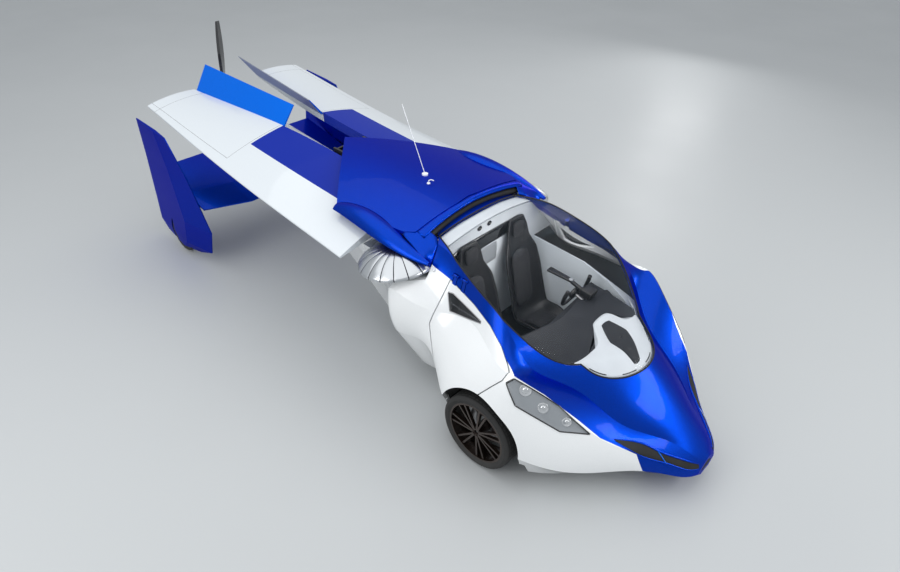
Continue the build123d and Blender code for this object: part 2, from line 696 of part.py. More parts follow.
def make_propeller():
    """Two-bladed pusher propeller with its spinner."""
    centre = Vector(0, PROP_Y, PROP_Z)
    spinner = cylinder(centre, (0, 1, 0), 62, 56)
    cone = Plane(origin=(0, PROP_Y + 28, PROP_Z), z_dir=(0, 1, 0)) * Pos(0, 0, 12) * Cone(62, 34, 24)
    hub = fused(spinner, cone)
    wires = []
    for r, chord, thick, twist in BLADE:
        c, s = math.cos(math.radians(twist)), math.sin(math.radians(twist))
        pts = [(-0.5, 0), (-0.15, 0.5), (0.5, 0), (-0.15, -0.5)]
        wires.append(Wire.make_polygon([
            (chord * u * c - thick * v * s, PROP_Y + chord * u * s + thick * v * c, PROP_Z + r)
            for u, v in pts]))
    blade = Solid.make_loft(wires)
    axis = Axis((0, PROP_Y, PROP_Z), (0, 1, 0))
    prop = fused(hub, blade, blade.rotate(axis, 180)).rotate(axis, PROP_REST)
    keep("propeller", prop - cylinder((0, PROP_Y, PROP_Z), (0, 1, 0), PROP_SHAFT_R + PIN_GAP, 62))


def make_cabin():
    """Seats, dashboard and steering yoke."""
    seat = Face(Wire.make_polygon([(0, y, z) for y, z in SEAT]))
    seat = extrude(seat, SEAT_W, dir=(1, 0, 0)).moved(Location((SEAT_X - SEAT_W / 2, 0, 0)))
    both("seat", seat)
    dash = Face(Wire.make_polygon([(0, y, z) for y, z in DASH]))
    dash = extrude(dash, DASH_W / 2, dir=(1, 0, 0), both=True) & cavity(SEAT_GAP)
    rake = Vector(0, 0.9, 0.25).normalized()
    centre = Vector(YOKE_X, YOKE_Y, YOKE_Z)
    column = cylinder(centre - rake * 70, rake, COLUMN_R, 180)
    keep("dashboard", dash - column)
    keep("steering_column", column)
    hub = cylinder(centre, rake, 30, 24)
    grip = cylinder(centre, (1, 0, 0), 14, 330)
    keep("yoke", fused(hub, grip) - cylinder(centre, rake, COLUMN_R + PIN_GAP, 300))


if __name__ == "__main__":
    os.makedirs("parts", exist_ok=True)
    make_body()
    make_rear()
    make_wing()
    make_wheels()
    make_propeller()
    make_cabin()
    for name, shape in nodes.items():
        solids = shape.solids()
        print(name, len(solids), round(sum(s.volume for s in solids) / 1e6, 1))
        export_step(Compound(children=list(solids)) if len(solids) > 1 else solids[0], f"parts/{name}.step")
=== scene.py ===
# %% [markdown]
# # A folding-wing flying car: its looks
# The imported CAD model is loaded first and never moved. Every other cell adds either a finish
# or a piece that sits on it. Lengths are metres, the nose points to -Y and Z is up.

# %% Load the frame
import bpy
import math
import numpy as np
from mathutils import Matrix, Vector
from mathutils.bvhtree import BVHTree


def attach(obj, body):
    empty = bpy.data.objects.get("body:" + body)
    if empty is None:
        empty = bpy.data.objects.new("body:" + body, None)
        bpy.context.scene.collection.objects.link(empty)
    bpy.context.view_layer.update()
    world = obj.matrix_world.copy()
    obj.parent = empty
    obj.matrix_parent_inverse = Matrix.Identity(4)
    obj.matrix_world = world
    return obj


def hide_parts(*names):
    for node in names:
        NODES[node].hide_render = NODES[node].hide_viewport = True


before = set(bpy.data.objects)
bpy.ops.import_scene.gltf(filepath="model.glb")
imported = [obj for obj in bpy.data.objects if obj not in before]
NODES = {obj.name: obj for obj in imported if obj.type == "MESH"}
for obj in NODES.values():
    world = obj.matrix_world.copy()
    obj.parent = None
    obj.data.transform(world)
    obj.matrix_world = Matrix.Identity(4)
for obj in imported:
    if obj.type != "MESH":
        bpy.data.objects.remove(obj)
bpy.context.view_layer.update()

SIDES = (("left", 1.0), ("right", -1.0))
X, Y, Z = np.eye(3)
print("loaded", len(NODES), "nodes")

# %% [markdown]
# ## Surfaces from formulas
# Each new piece is a grid of points: one parameter runs along it and one round it. Whole arrays
# are worked out at once, which is quicker than adding points one by one and keeps the formula
# in sight. A grid can close on itself either way, and its ends can be capped.

# %% Grid helper
def grid(name, points, finish, form="bar", body="body", slot=None, toward=None):
    """Mesh whose vertex (i, j) is points[i, j]; faces join neighbours in both directions.

    A sheet is open, a ring closes round j, a loop closes both ways, and a bar is a capped ring.
    """
    points = np.asarray(points, float)
    n, m = points.shape[:2]
    index = np.arange(n * m).reshape(n, m)
    a, b = (index, np.roll(index, -1, 0)) if form == "loop" else (index[:-1], index[1:])
    quads = np.stack([a, np.roll(a, -1, 1), np.roll(b, -1, 1), b], -1)
    if form == "sheet":
        quads = quads[:, :-1]
    quads = quads.reshape(-1, 4)
    faces = [tuple(q) for q in quads.tolist()]
    if form == "bar":
        faces += [tuple(index[0][::-1].tolist()), tuple(index[-1].tolist())]
    flat = points.reshape(-1, 3)
    p, q, r = (flat[quads[:, k]] for k in range(3))
    outward = p - flat.mean(0) if toward is None else np.asarray(toward)
    if (np.cross(q - p, r - p) * outward).sum() < 0:
        faces = [f[::-1] for f in faces]
    mesh = bpy.data.meshes.new(name)
    mesh.from_pydata(flat.tolist(), [], faces)
    mesh.polygons.foreach_set("use_smooth", np.ones(len(faces), bool))
    mesh.update()
    mesh.materials.append(finish.material)
    piece = bpy.data.objects.new(name, mesh)
    bpy.context.scene.collection.objects.link(piece)
    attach(piece, body)
    slot = slot or finish.slot
    return piece


def unit(vectors):
    """Vectors scaled to length one."""
    return vectors / np.linalg.norm(vectors, axis=-1, keepdims=True)


def circle(count):
    """Even angles once round."""
    return np.linspace(0, 2 * np.pi, count, endpoint=False)


def superellipse(count, wide_power, high_power):
    """Cosine and sine once round, each raised to a power that squares the circle off."""
    c, s = np.cos(circle(count)), np.sin(circle(count))
    return np.sign(c) * np.abs(c) ** wide_power, np.sign(s) * np.abs(s) ** high_power


def turned(profile, centre, axis, one, two, count):
    """Profile of (along the axis, radius) turned about the axis; one and two span its circle."""
    turn = circle(count)[:, None]
    round_ = np.cos(turn) * one + np.sin(turn) * two
    return np.array([centre + along * axis + radius * round_ for along, radius in profile])


def tube(path, radius, count=12, closed=False):
    """Round tube along a path: a circle in the plane square to the path at each point."""
    path = np.asarray(path, float)
    ahead = np.roll(path, -1, 0) - np.roll(path, 1, 0)
    if not closed:
        ahead[0], ahead[-1] = path[1] - path[0], path[-1] - path[-2]
    ahead = unit(ahead)
    side = unit(np.cross(ahead, np.where(np.abs(ahead[:, 2:]) > 0.9, X, Z)))
    rise = np.cross(side, ahead)
    turn = circle(count)[:, None]
    radius = np.broadcast_to(radius, len(path))[:, None, None]
    return path[:, None] + radius * (np.cos(turn) * side[:, None] + np.sin(turn) * rise[:, None])


def smooth_path(points, count, closed=False):
    """Points at even steps along a curve that passes through the given ones (Catmull-Rom)."""
    p = np.asarray(points, float)
    if closed:
        p = np.concatenate([p[-1:], p, p[:2]])
    else:
        p = np.concatenate([2 * p[:1] - p[1:2], p, 2 * p[-1:] - p[-2:-1]])
    spans = len(p) - 3
    u = np.linspace(0, spans, count, endpoint=not closed)
    k = np.minimum(u.astype(int), spans - 1)
    t = (u - k)[:, None]
    a, b, c, d = p[k], p[k + 1], p[k + 2], p[k + 3]
    return 0.5 * (2 * b + (c - a) * t + (2 * a - 5 * b + 4 * c - d) * t ** 2
                  + (3 * b - a - 3 * c + d) * t ** 3)


def soft_outline(corners, per_side, soft):
    """Closed outline between a sharp polygon and the smooth curve through its corners."""
    corners = np.asarray(corners, float)
    step = np.linspace(0, 1, per_side, endpoint=False)[:, None]
    sharp = np.concatenate([a + (b - a) * step for a, b in zip(corners, np.roll(corners, -1, 0))])
    return soft * smooth_path(corners, len(sharp), closed=True) + (1 - soft) * sharp


def tree(*names):
    """Ray-casting tree over the meshes of some nodes, which all lie at the origin."""
    verts, faces = [], []
    for name in names:
        mesh = NODES[name].data
        base = len(verts)
        verts += [v.co.copy() for v in mesh.vertices]
        faces += [[base + i for i in f.vertices] for f in mesh.polygons]
    return BVHTree.FromPolygons(verts, faces)


def height_on(skin, x, y):
    """Height where a ray from above meets a skin, or None beside it."""
    hit = skin.ray_cast(Vector((x, y, 3.0)), Vector((0, 0, -1)))[0]
    return None if hit is None else hit.z


# %% [markdown]
# ## Shared shader effects
# Flakes, dust and fine unevenness recur in many finishes, so each is a node group with sockets.
# A group gives only a value or a normal; the shader itself stays in the material.

# %% Shader helpers and groups
class Nodes:
    """Short ways to add nodes to a tree. A value may be a number, a colour or another's socket."""

    def __init__(self, tree_):
        self.tree = tree_

    def feed(self, slot_, value):
        """Link a socket to an input, or set the input to a constant."""
        if isinstance(value, bpy.types.NodeSocket):
            self.tree.links.new(value, slot_)
        else:
            slot_.default_value = (*value, 1.0) if isinstance(value, tuple) else value

    def node(self, kind, **values):
        """New node with some of its inputs fed by name."""
        made = self.tree.nodes.new("ShaderNode" + kind)
        for key, value in values.items():
            self.feed(made.inputs[key.replace("_", " ")], value)
        return made

    def math(self, how, *values):
        """Arithmetic on sockets or numbers; gives the result's socket."""
        made = self.node("Math")
        made.operation = how
        for slot_, value in zip(made.inputs, values):
            self.feed(slot_, value)
        return made.outputs[0]

    def times(self, a, b):
        return self.math("MULTIPLY", a, b)

    def plus(self, a, b):
        return self.math("ADD", a, b)

    def minus(self, a, b):
        return self.math("SUBTRACT", a, b)

    def mix(self, mask, a, b):
        """Colour a where mask is 0 and b where it is 1."""
        made = self.node("Mix")
        made.data_type = "RGBA"
        for place, value in ((0, mask), (6, a), (7, b)):
            self.feed(made.inputs[place], value)
        return made.outputs[2]

    def span(self, value, low, high, to_low, to_high):
        """Value rescaled from one range to another, clamped."""
        made = self.node("MapRange", Value=value, From_Min=low, From_Max=high, To_Min=to_low,
                         To_Max=to_high)
        return made.outputs["Result"]

    def pick(self, mask, a, b):
        """Number a where mask is 0 and b where it is 1."""
        return self.span(mask, 0.0, 1.0, a, b)

    def where(self):
        """Position in object space."""
        return self.node("TexCoord").outputs["Object"]

    def xyz(self, vector=None):
        """The three parts of a vector, or of the position."""
        return self.node("SeparateXYZ", Vector=vector or self.where()).outputs


def group(name, inputs, outputs):
    """Empty shader group: its nodes, the sockets that come in and those that go out."""
    tree_ = bpy.data.node_groups.new(name, "ShaderNodeTree")
    for key, value in inputs.items():
        made = tree_.interface.new_socket(key, in_out="INPUT", socket_type="NodeSocketFloat")
        made.default_value = value
    for key in outputs:
        kind = "NodeSocketVector" if key == "Normal" else "NodeSocketFloat"
        tree_.interface.new_socket(key, in_out="OUTPUT", socket_type=kind)
    return Nodes(tree_), tree_.nodes.new("NodeGroupInput").outputs, tree_.nodes.new("NodeGroupOutput").inputs


def grain_group():
    """Noise in object space as a value, and the same as a bumped normal."""
    g, given, result = group("grain", {"Scale": 40.0, "Bump": 0.2, "Depth": 0.001}, ("Value", "Normal"))
    noise = g.node("TexNoise", Vector=g.where(), Scale=given["Scale"], Detail=6.0).outputs["Fac"]
    bump = g.node("Bump", Strength=given["Bump"], Distance=given["Depth"], Height=noise)
    g.feed(result["Value"], noise)
    g.feed(result["Normal"], bump.outputs["Normal"])
    return g.tree


def flake_group():
    """Cells of random brightness, each tilted a little: metallic flakes under clear coat."""
    g, given, result = group("flakes", {"Scale": 900.0, "Bump": 0.05}, ("Value", "Normal"))
    cells = g.node("TexVoronoi", Vector=g.where(), Scale=given["Scale"])
    value = g.node("SeparateColor", Color=cells.outputs["Color"]).outputs["Red"]
    bump = g.node("Bump", Strength=given["Bump"], Distance=0.0004, Height=value)
    g.feed(result["Value"], value)
    g.feed(result["Normal"], bump.outputs["Normal"])
    return g.tree


def dust_group():
    """Road dust: noise times Amount on the ground, fading to nothing at the height Top."""
    g, given, result = group("dust", {"Top": 0.5, "Amount": 0.4}, ("Value",))
    noise = g.node("TexNoise", Vector=g.where(), Scale=9.0, Detail=8.0).outputs["Fac"]
    fade = g.span(g.xyz()["Z"], 0.0, given["Top"], 1.0, 0.0)
    g.feed(result["Value"], g.times(g.times(fade, noise), given["Amount"]))
    return g.tree


GRAIN, FLAKES, DUST = grain_group(), flake_group(), dust_group()


class Finish(Nodes):
    """One material under construction, and the name of a slot that it keeps."""

    def __init__(self, name, color, rough=0.5, metal=0.0, coat=0.0, coat_rough=0.03, slot=None):
        self.material = bpy.data.materials.new(name)
        self.material.use_nodes = True
        super().__init__(self.material.node_tree)
        self.shader = self.tree.nodes["Principled BSDF"]
        self.slot = slot
        self.set(Base_Color=color, Roughness=rough, Metallic=metal, Coat_Weight=coat,
                 Coat_Roughness=coat_rough)

    def set(self, **values):
        """Feed some of the shader's inputs by name."""
        for key, value in values.items():
            self.feed(self.shader.inputs[key.replace("_", " ")], value)

    def effect(self, tree_, **values):
        """Outputs of a shared group."""
        made = self.node("Group")
        made.node_tree = tree_
        for key, value in values.items():
            made.inputs[key].default_value = value
        return made.outputs


print("groups", [g.name for g in (GRAIN, FLAKES, DUST)])

# %% [markdown]
# ## Paints
# The blue is a metallic base under clear coat: flakes vary its brightness and tilt, and dust
# dulls it near the ground. The white is a pearl, so its flakes are finer and only just visible.
# The wings carry a dull, darker blue field near their roots, drawn by position in one material.

# %% Paint materials
DEEP, BRIGHT, ROOT = (0.0005, 0.040, 0.42), (0.001, 0.17, 0.86), (0.001, 0.018, 0.30)
# The wings' white is the body's pearl painted darker: painted shade.
PEARL, SHADED_WING_WHITE = (0.87, 0.885, 0.89), (0.66, 0.70, 0.73)
# The flaps' lower-face grey is partly their own light paint and partly painted shade.
ROAD_DUST, SEAM_GREY, SHADED_FLAP_UNDERSIDE = (0.35, 0.34, 0.32), (0.12, 0.12, 0.13), (0.42, 0.44, 0.47)
FIELD_X, FIELD_Y = 0.610, 1.520
FLAP_X, FLAP_Y, TIP_Y = 0.855, 1.545, 2.72
STRAP_Y, STRAP_HALF = (-1.200, -1.110), 0.018
BORDER_SLOPE, BORDER_Z = 0.209, 1.4080
SEAM_HALF, FLAP_SEAM_HALF = 0.0018, 0.0016


def paint(name, color, metal, rough, coat, flake_bump, spread, dusty=0.25, slot="white_paint"):
    """Coated paint whose flakes vary the base colour by spread either way."""
    f = Finish(name, color, rough, metal, coat, 0.025, slot)
    flakes = f.effect(FLAKES, Scale=700.0, Bump=flake_bump)
    dust = f.effect(DUST, Top=0.35, Amount=dusty)["Value"]
    f.shade = f.mix(flakes["Value"], tuple(c * (1 - spread) for c in color),
                    tuple(min(1.0, c * (1 + spread)) for c in color))
    f.set(Base_Color=f.mix(dust, f.shade, ROAD_DUST), Roughness=f.span(dust, 0.0, 0.25, rough, rough + 0.3),
          Normal=flakes["Normal"])
    return f


def wing_paint():
    """Pearl white painted darker than the body's pearl as painted shade, with a dull blue field by the root
    and thin seams along the control surfaces.
    """
    f = paint("wing_paint", SHADED_WING_WHITE, 0.0, 0.28, 1.0, 0.02, 0.03)
    x, y, _ = f.xyz()
    wide = f.math("ABSOLUTE", x)
    field = f.times(f.math("LESS_THAN", wide, FIELD_X), f.math("LESS_THAN", y, FIELD_Y))
    beside = f.times(f.math("COMPARE", wide, FLAP_X, FLAP_SEAM_HALF), f.math("GREATER_THAN", y, FLAP_Y))
    ahead = f.times(f.math("COMPARE", y, FLAP_Y, SEAM_HALF), f.math("LESS_THAN", wide, FLAP_X))
    tip = f.math("COMPARE", y, TIP_Y, SEAM_HALF)
    seam = f.math("MAXIMUM", f.math("MAXIMUM", beside, tip), ahead)
    f.set(Base_Color=f.mix(seam, f.mix(field, f.shade, ROOT), SEAM_GREY),
          Roughness=f.pick(field, 0.28, 0.50), Coat_Weight=f.pick(field, 1.0, 0.05),
          Specular_IOR_Level=f.pick(field, 0.5, 0.12))
    return f


def door_paint():
    """Pearl white; the two hinge straps above the shell's border line are in the shell's blue."""
    f = paint("door_paint", PEARL, 0.0, 0.30, 1.0, 0.02, 0.03)
    _, y, z = f.xyz()
    strap = f.math("MAXIMUM", *(f.math("COMPARE", y, middle, STRAP_HALF) for middle in STRAP_Y))
    border = f.plus(f.times(y, BORDER_SLOPE), BORDER_Z)
    blue_part = f.times(strap, f.math("GREATER_THAN", z, border))
    f.set(Base_Color=f.mix(blue_part, f.shade, DEEP), Metallic=f.pick(blue_part, 0.0, 0.90),
          Coat_Weight=f.pick(blue_part, 1.0, 0.12))
    return f


def flap_paint():
    """Blue on the upper face; the lower face's own light colour is painted mid grey as painted shade, chosen
    by the side that the face turns to.
    """
    f = paint("flap_paint", BRIGHT, 0.60, 0.36, 0.10, 0.06, 0.12, 0.04, "blue_paint")
    facing = f.xyz(f.node("NewGeometry").outputs["Normal"])["X"]
    outward = f.times(facing, f.math("SIGN", f.xyz()["X"]))
    # Faces turned inboard get the grey: the underside's light colour darkened as painted shade.
    f.set(Base_Color=f.mix(f.math("GREATER_THAN", outward, -0.2), SHADED_FLAP_UNDERSIDE, f.shade))
    return f


blue = paint("blue_paint", DEEP, 0.90, 0.32, 0.12, 0.08, 0.30, 0.04, "blue_paint")
bright, wing, door = flap_paint(), wing_paint(), door_paint()
white = paint("pearl_paint", PEARL, 0.0, 0.30, 1.0, 0.02, 0.03)
for coated in (blue, bright):
    coated.set(Specular_Tint=(0.02, 0.14, 0.80))
print("paints ready")

# %% [markdown]
# ## Other finishes
# Glass lets the cabin show, so it is mostly transparent and turns reflective at a grazing
# angle. Rubber has tread cut by angle round its axle. Cast, carbon and trim plastics differ in
# roughness and in the scale of their grain.

# %% Plain finishes
def plain(name, slot, color, rough, scale, bump, metal=0.0, coat=0.0):
    """Finish with fine grain in its normal, and slow variation of colour and roughness."""
    f = Finish(name, color, rough, metal, coat, slot=slot)
    slow = f.effect(GRAIN, Scale=7.0)["Value"]
    f.set(Normal=f.effect(GRAIN, Scale=scale, Bump=bump)["Normal"],
          Roughness=f.span(slow, 0.3, 0.7, rough * 0.85, min(1.0, rough * 1.15)),
          Base_Color=f.mix(slow, tuple(c * 0.82 for c in color), color))
    return f


silver = plain("spun_silver", "aluminium", (0.78, 0.79, 0.80), 0.22, 220.0, 0.06, metal=1.0)
bronze = plain("bronze_wheel", "wheel_finish", (0.060, 0.042, 0.034), 0.30, 180.0, 0.05, 0.85, 0.4)
steel = plain("steel", "steel", (0.45, 0.45, 0.46), 0.35, 120.0, 0.1, metal=1.0)
cast = plain("cast_metal", "cast", (0.10, 0.10, 0.11), 0.6, 260.0, 0.5, metal=0.7)
trim = plain("black_trim", "black_plastic", (0.012, 0.012, 0.013), 0.45, 600.0, 0.25)
gloss = plain("black_gloss", "black_plastic", (0.006, 0.006, 0.007), 0.12, 30.0, 0.02, coat=1.0)
dash = plain("dash_top", "black_plastic", (0.012, 0.014, 0.020), 0.66, 900.0, 0.5)
cabin_white = plain("cabin_white", "white_paint", (0.74, 0.78, 0.82), 0.42, 300.0, 0.05)
leather = plain("black_leather", "seat_leather", (0.013, 0.013, 0.015), 0.46, 420.0, 0.6)
fabric = plain("seat_fabric", "seat_leather", (0.017, 0.017, 0.020), 0.85, 900.0, 0.9)
rubber = plain("rubber_seal", "black_plastic", (0.010, 0.010, 0.010), 0.75, 300.0, 0.3)
liner = plain("light_trim", "aluminium", (0.30, 0.32, 0.34), 0.35, 200.0, 0.08)


# Middle of each left tread, and where the cabin's lining ends and its carpet begins.
FRONT_AXLE, REAR_AXLE = (0.927, -1.680, 0.310), (1.003, 2.500, 0.190)
LINING_X, CARPET_Z, WEAVE = 0.615, 0.30, 2600.0


def carbon_finish():
    """Carbon: a twill of fine diagonal bands under lacquer, from two crossed sine waves."""
    f = Finish("carbon", (0.012, 0.012, 0.013), 0.3, 0.0, 1.0)
    x, _, z = f.xyz()
    one, two = (f.math("SINE", f.times(f.math(how, x, z), WEAVE)) for how in ("ADD", "SUBTRACT"))
    weave = f.span(f.times(one, two), -1, 1, 0, 1)
    f.set(Base_Color=f.mix(weave, (0.008, 0.008, 0.009), (0.022, 0.022, 0.024)))
    return f


def glass(name, tint, clear, edge, rough):
    """Thin glazing: alpha rises from clear, face on, to edge at a grazing angle."""
    f = Finish(name, tint, rough)
    grazing = f.math("POWER", f.node("LayerWeight", Blend=0.5).outputs["Facing"], 4.0)
    f.set(Alpha=f.pick(grazing, clear, edge), Specular_IOR_Level=0.5,
          Normal=f.effect(GRAIN, Scale=3.0, Bump=0.04, Depth=0.002)["Normal"])
    return f


def tyre_finish(name, axle, half_tread, blocks):
    """Rubber with grooves round the tread and slanted cuts across it, by angle about the axle; the grooves
    are painted darker than the blocks as painted shade.
    """
    f = Finish(name, (0.012, 0.012, 0.012), 0.8)
    x, y, z = f.xyz()
    middle_x, axle_y, axle_z = axle
    off = f.minus(f.math("ABSOLUTE", x), middle_x)
    far = f.math("ABSOLUTE", off)
    angle = f.math("ARCTAN2", f.minus(z, axle_z), f.minus(y, axle_y))
    lines = f.math("SINE", f.times(off, 2 * math.pi * 3 / half_tread))
    cuts = f.math("SINE", f.plus(f.times(angle, blocks), f.times(far, 30.0)))
    pattern = f.math("MINIMUM", f.span(lines, -0.75, -0.45, 0, 1), f.span(cuts, -0.9, -0.7, 0, 1))
    height = f.math("MAXIMUM", pattern, f.minus(1.0, f.math("LESS_THAN", far, half_tread)))
    dust = f.effect(DUST, Top=0.6, Amount=0.35)["Value"]
    # The grooves get the darker rubber colour: painted shade in the recesses.
    shade = f.mix(height, (0.004, 0.004, 0.004), (0.018, 0.018, 0.018))
    f.set(Normal=f.node("Bump", Strength=0.9, Distance=0.006, Height=height).outputs["Normal"],
          Base_Color=f.mix(dust, shade, (0.10, 0.095, 0.09)))
    return f


def tub_finish():
    """White cabin lining, dark carpet low down in it, and black where the wheel wells face out."""
    f = Finish("tub_lining", (0.74, 0.78, 0.82), 0.45)
    x, _, z = f.xyz()
    inside = f.math("LESS_THAN", f.math("ABSOLUTE", x), LINING_X)
    low = f.math("LESS_THAN", z, CARPET_Z)
    color = f.mix(low, (0.70, 0.75, 0.79), (0.02, 0.02, 0.022))
    f.set(Base_Color=f.mix(inside, (0.012, 0.012, 0.012), color), Roughness=f.pick(low, 0.4, 0.95),
          Normal=f.effect(GRAIN, Scale=500.0, Bump=0.4)["Normal"])
    return f


# A point on the left wing's hinge, how far the hinge leans outwards and aft, and the dome on it.
HINGE_X, HINGE_Y, HINGE_Z = 0.686, -0.560, 1.150
LEAN_OUT, LEAN_AFT = math.tan(math.radians(5.0)), math.tan(math.radians(8.7))
DOME_R, DOME_H, DOME_EDGE, DOME_TOP_R = 0.323, 0.118, 0.014, 0.044
GORES = 18


def fan_finish():
    """Spun silver, and pearl white on the wing's own root stub."""
    f = Finish("fan_silver", (0.80, 0.81, 0.82), 0.20, 1.0)
    x, y, _ = f.xyz()
    dx, dy = f.minus(f.math("ABSOLUTE", x), HINGE_X), f.minus(y, HINGE_Y)
    far = f.math("SQRT", f.plus(f.times(dx, dx), f.times(dy, dy)))
    stub = f.math("GREATER_THAN", far, DOME_R + 0.008)
    f.set(Base_Color=f.mix(stub, (0.80, 0.81, 0.82), PEARL), Metallic=f.pick(stub, 1.0, 0.0),
          Normal=f.effect(GRAIN, Scale=260.0, Bump=0.08)["Normal"])
    return f


def gore_finish():
    """Pressed silver with a dark joint every twenty degrees round the leaning hinge."""
    f = Finish("pressed_silver", (0.56, 0.58, 0.60), 0.28, 1.0, slot="steel")
    x, y, z = f.xyz()
    rise = f.minus(z, HINGE_Z)
    dx = f.minus(f.minus(f.math("ABSOLUTE", x), HINGE_X), f.times(rise, LEAN_OUT))
    dy = f.minus(f.minus(y, HINGE_Y), f.times(rise, LEAN_AFT))
    wave = f.math("SINE", f.times(f.math("ARCTAN2", dy, dx), GORES / 2))
    joint = f.math("LESS_THAN", f.math("ABSOLUTE", wave), 0.13)
    f.set(Base_Color=f.mix(joint, (0.56, 0.58, 0.60), (0.05, 0.05, 0.06)),
          Roughness=f.pick(joint, 0.28, 0.60), Normal=f.effect(GRAIN, Scale=200.0, Bump=0.08)["Normal"])
    return f


fan, gore, carbon, tub = fan_finish(), gore_finish(), carbon_finish(), tub_finish()
screen = glass("windscreen_glass", (0.10, 0.13, 0.16), 0.025, 0.45, 0.02)
dark_glass = glass("side_glass", (0.02, 0.022, 0.025), 0.70, 0.95, 0.03)
lens = glass("lamp_lens", (0.55, 0.60, 0.64), 0.06, 0.55, 0.03)
front_rubber = tyre_finish("front_tyre_rubber", FRONT_AXLE, 0.078, 54.0)
rear_rubber = tyre_finish("rear_tyre_rubber", REAR_AXLE, 0.024, 40.0)
print("finishes ready")

# %% Finish of every CAD node
RULES = [
    ("upper_shell", blue), ("rear_deck", blue), ("fin_", blue), ("tailplane", blue), ("flap_", bright),
    ("windscreen", screen), ("door_window", dark_glass), ("door_", door), ("headlight", lens),
    ("fender", white), ("quarter", white), ("floor_pan", white), ("body_tub", tub),
    ("bulkhead", cabin_white), ("rear_body", white), ("wing_root_fan", fan), ("wing_", wing),
    ("engine_block", cast), ("antenna", white), ("tyre_front", front_rubber), ("tyre_rear", rear_rubber),
    ("wheel_", bronze), ("knuckle", steel), ("suspension", steel), ("propeller", carbon),
    ("seat", leather), ("dashboard", dash), ("steering_column", steel)]
for key, node in NODES.items():
    finish = next((f for start, f in RULES if key.startswith(start)), trim)
    if not node.material_slots:
        node.data.materials.append(finish.material)
    for slot_ in node.material_slots:
        slot_.material = finish.material
    node.data.polygons.foreach_set("use_smooth", np.ones(len(node.data.polygons), bool))
print("finished", len(NODES), "nodes")

# %% [markdown]
# ## Glazing line
# A black seal runs round the windscreen where it meets the blue frame. Its height comes from
# casting rays down on the windscreen itself, so it follows the glass wherever that goes.

# %% Windscreen seal
CABIN = np.array([0.0, -1.55])
glass_tree = tree("windscreen")


def plan_outline():
    """Plan points of the windscreen's edge, found along rays from the cabin's middle."""
    found = []
    for turn in circle(180):
        heading_ = np.array([math.cos(turn), math.sin(turn)])
        low, high = 0.05, 1.3
        for _ in range(22):
            middle = (low + high) / 2
            seen = height_on(glass_tree, *(CABIN + heading_ * middle)) is not None
            low, high = (middle, high) if seen else (low, middle)
        found.append(CABIN + heading_ * (low - 0.004))
    return np.array(found)


edge = plan_outline()
rim_path = np.column_stack([edge, [height_on(glass_tree, *p) for p in edge]])
grid("windscreen_seal", tube(rim_path, 0.0055, 8, closed=True), rubber, "loop")
print("seal round", len(rim_path), "points")

# %% [markdown]
# ## Dashboard cover and white surround
# Under the glass lies one broad cover: dark over the instruments and white round the nose of
# the cabin, with a dark six-sided insert. They lie at the height of the belt line or just under
# the glass, whichever is lower, but always above the tub. The first two heights meet in a soft
# minimum, the logarithm of the sum of their exponentials, so no crease shows between them.

# %% Cover, surround and insert
BELT_Y = [-2.42, -2.30, -2.15, -2.0, -1.88, -1.70, -1.58]
BELT_Z = [0.845, 0.851, 0.849, 0.835, 0.828, 0.815, 0.800]
UNDER_GLASS, OVER_TUB, SHARPNESS = 0.020, 0.0012, 70
tub_tree = tree("body_tub")


def cover_height(x, y, lift=0.0):
    """Belt-line height over a plan point, kept below the glass and above the tub's own top."""
    high = np.interp(y, BELT_Y, BELT_Z)
    top = height_on(glass_tree, x, y)
    if top is not None:
        both = math.exp(-SHARPNESS * high) + math.exp(-SHARPNESS * (top - UNDER_GLASS))
        high = -math.log(both) / SHARPNESS
    tub_top = height_on(tub_tree, x, y)
    if tub_top is not None:
        high = max(high, tub_top + OVER_TUB)
    return high + lift


def thin(top, thick):
    """Closed sections from an open grid: its points, then the same ones lower, backwards."""
    return np.concatenate([top, top[:, ::-1] - [0, 0, thick]], 1)


def patch(name, near, far, finish, lift=0.0, steps=28):
    """Closed thin patch ruled between two plan edges of equal length."""
    share = np.linspace(0, 1, steps)[:, None, None]
    plan = near[None] * (1 - share) + far[None] * share
    top = np.array([[[x, y, cover_height(x, y, lift)] for x, y in row] for row in plan])
    grid(name, thin(top, 0.004), finish)


def heading(points):
    """Angle at which plan points lie from the cabin's middle."""
    return np.arctan2(points[:, 1] - CABIN[1], points[:, 0] - CABIN[0])


away = edge - CABIN
front = CABIN + away * (1 - 0.018 / np.linalg.norm(away, axis=1, keepdims=True))
front = front[front[:, 1] < -1.86]
front = front[np.argsort(heading(front))]
turn_front = heading(front)


def on_front(turn):
    """Point of the glass outline, moved in a little, at an angle from the cabin's middle."""
    return np.column_stack([np.interp(turn, turn_front, front[:, k]) for k in (0, 1)])


inner = smooth_path([(-0.396, -2.095), (-0.348, -2.072), (-0.177, -2.069), (-0.082, -2.030),
                     (0.029, -1.921), (0.096, -1.885), (0.230, -1.882), (0.270, -1.927),
                     (0.278, -2.040), (0.355, -2.070), (0.415, -2.045), (0.470, -1.985)], 60)
outer_turns = np.linspace(turn_front[0] + 0.12, turn_front[-1] - 0.02, 60)
patch("cabin_surround", inner, on_front(outer_turns), cabin_white, lift=0.0005)

back = np.column_stack([np.linspace(-0.56, 0.56, 60), -1.60 - 0.05 * np.cos(np.linspace(-np.pi, np.pi, 60))])
side_edge = on_front(np.linspace(turn_front[0], outer_turns[0], 20))
patch("dash_cover", back, smooth_path(np.concatenate([side_edge, inner])[::4], 60), dash, steps=24)

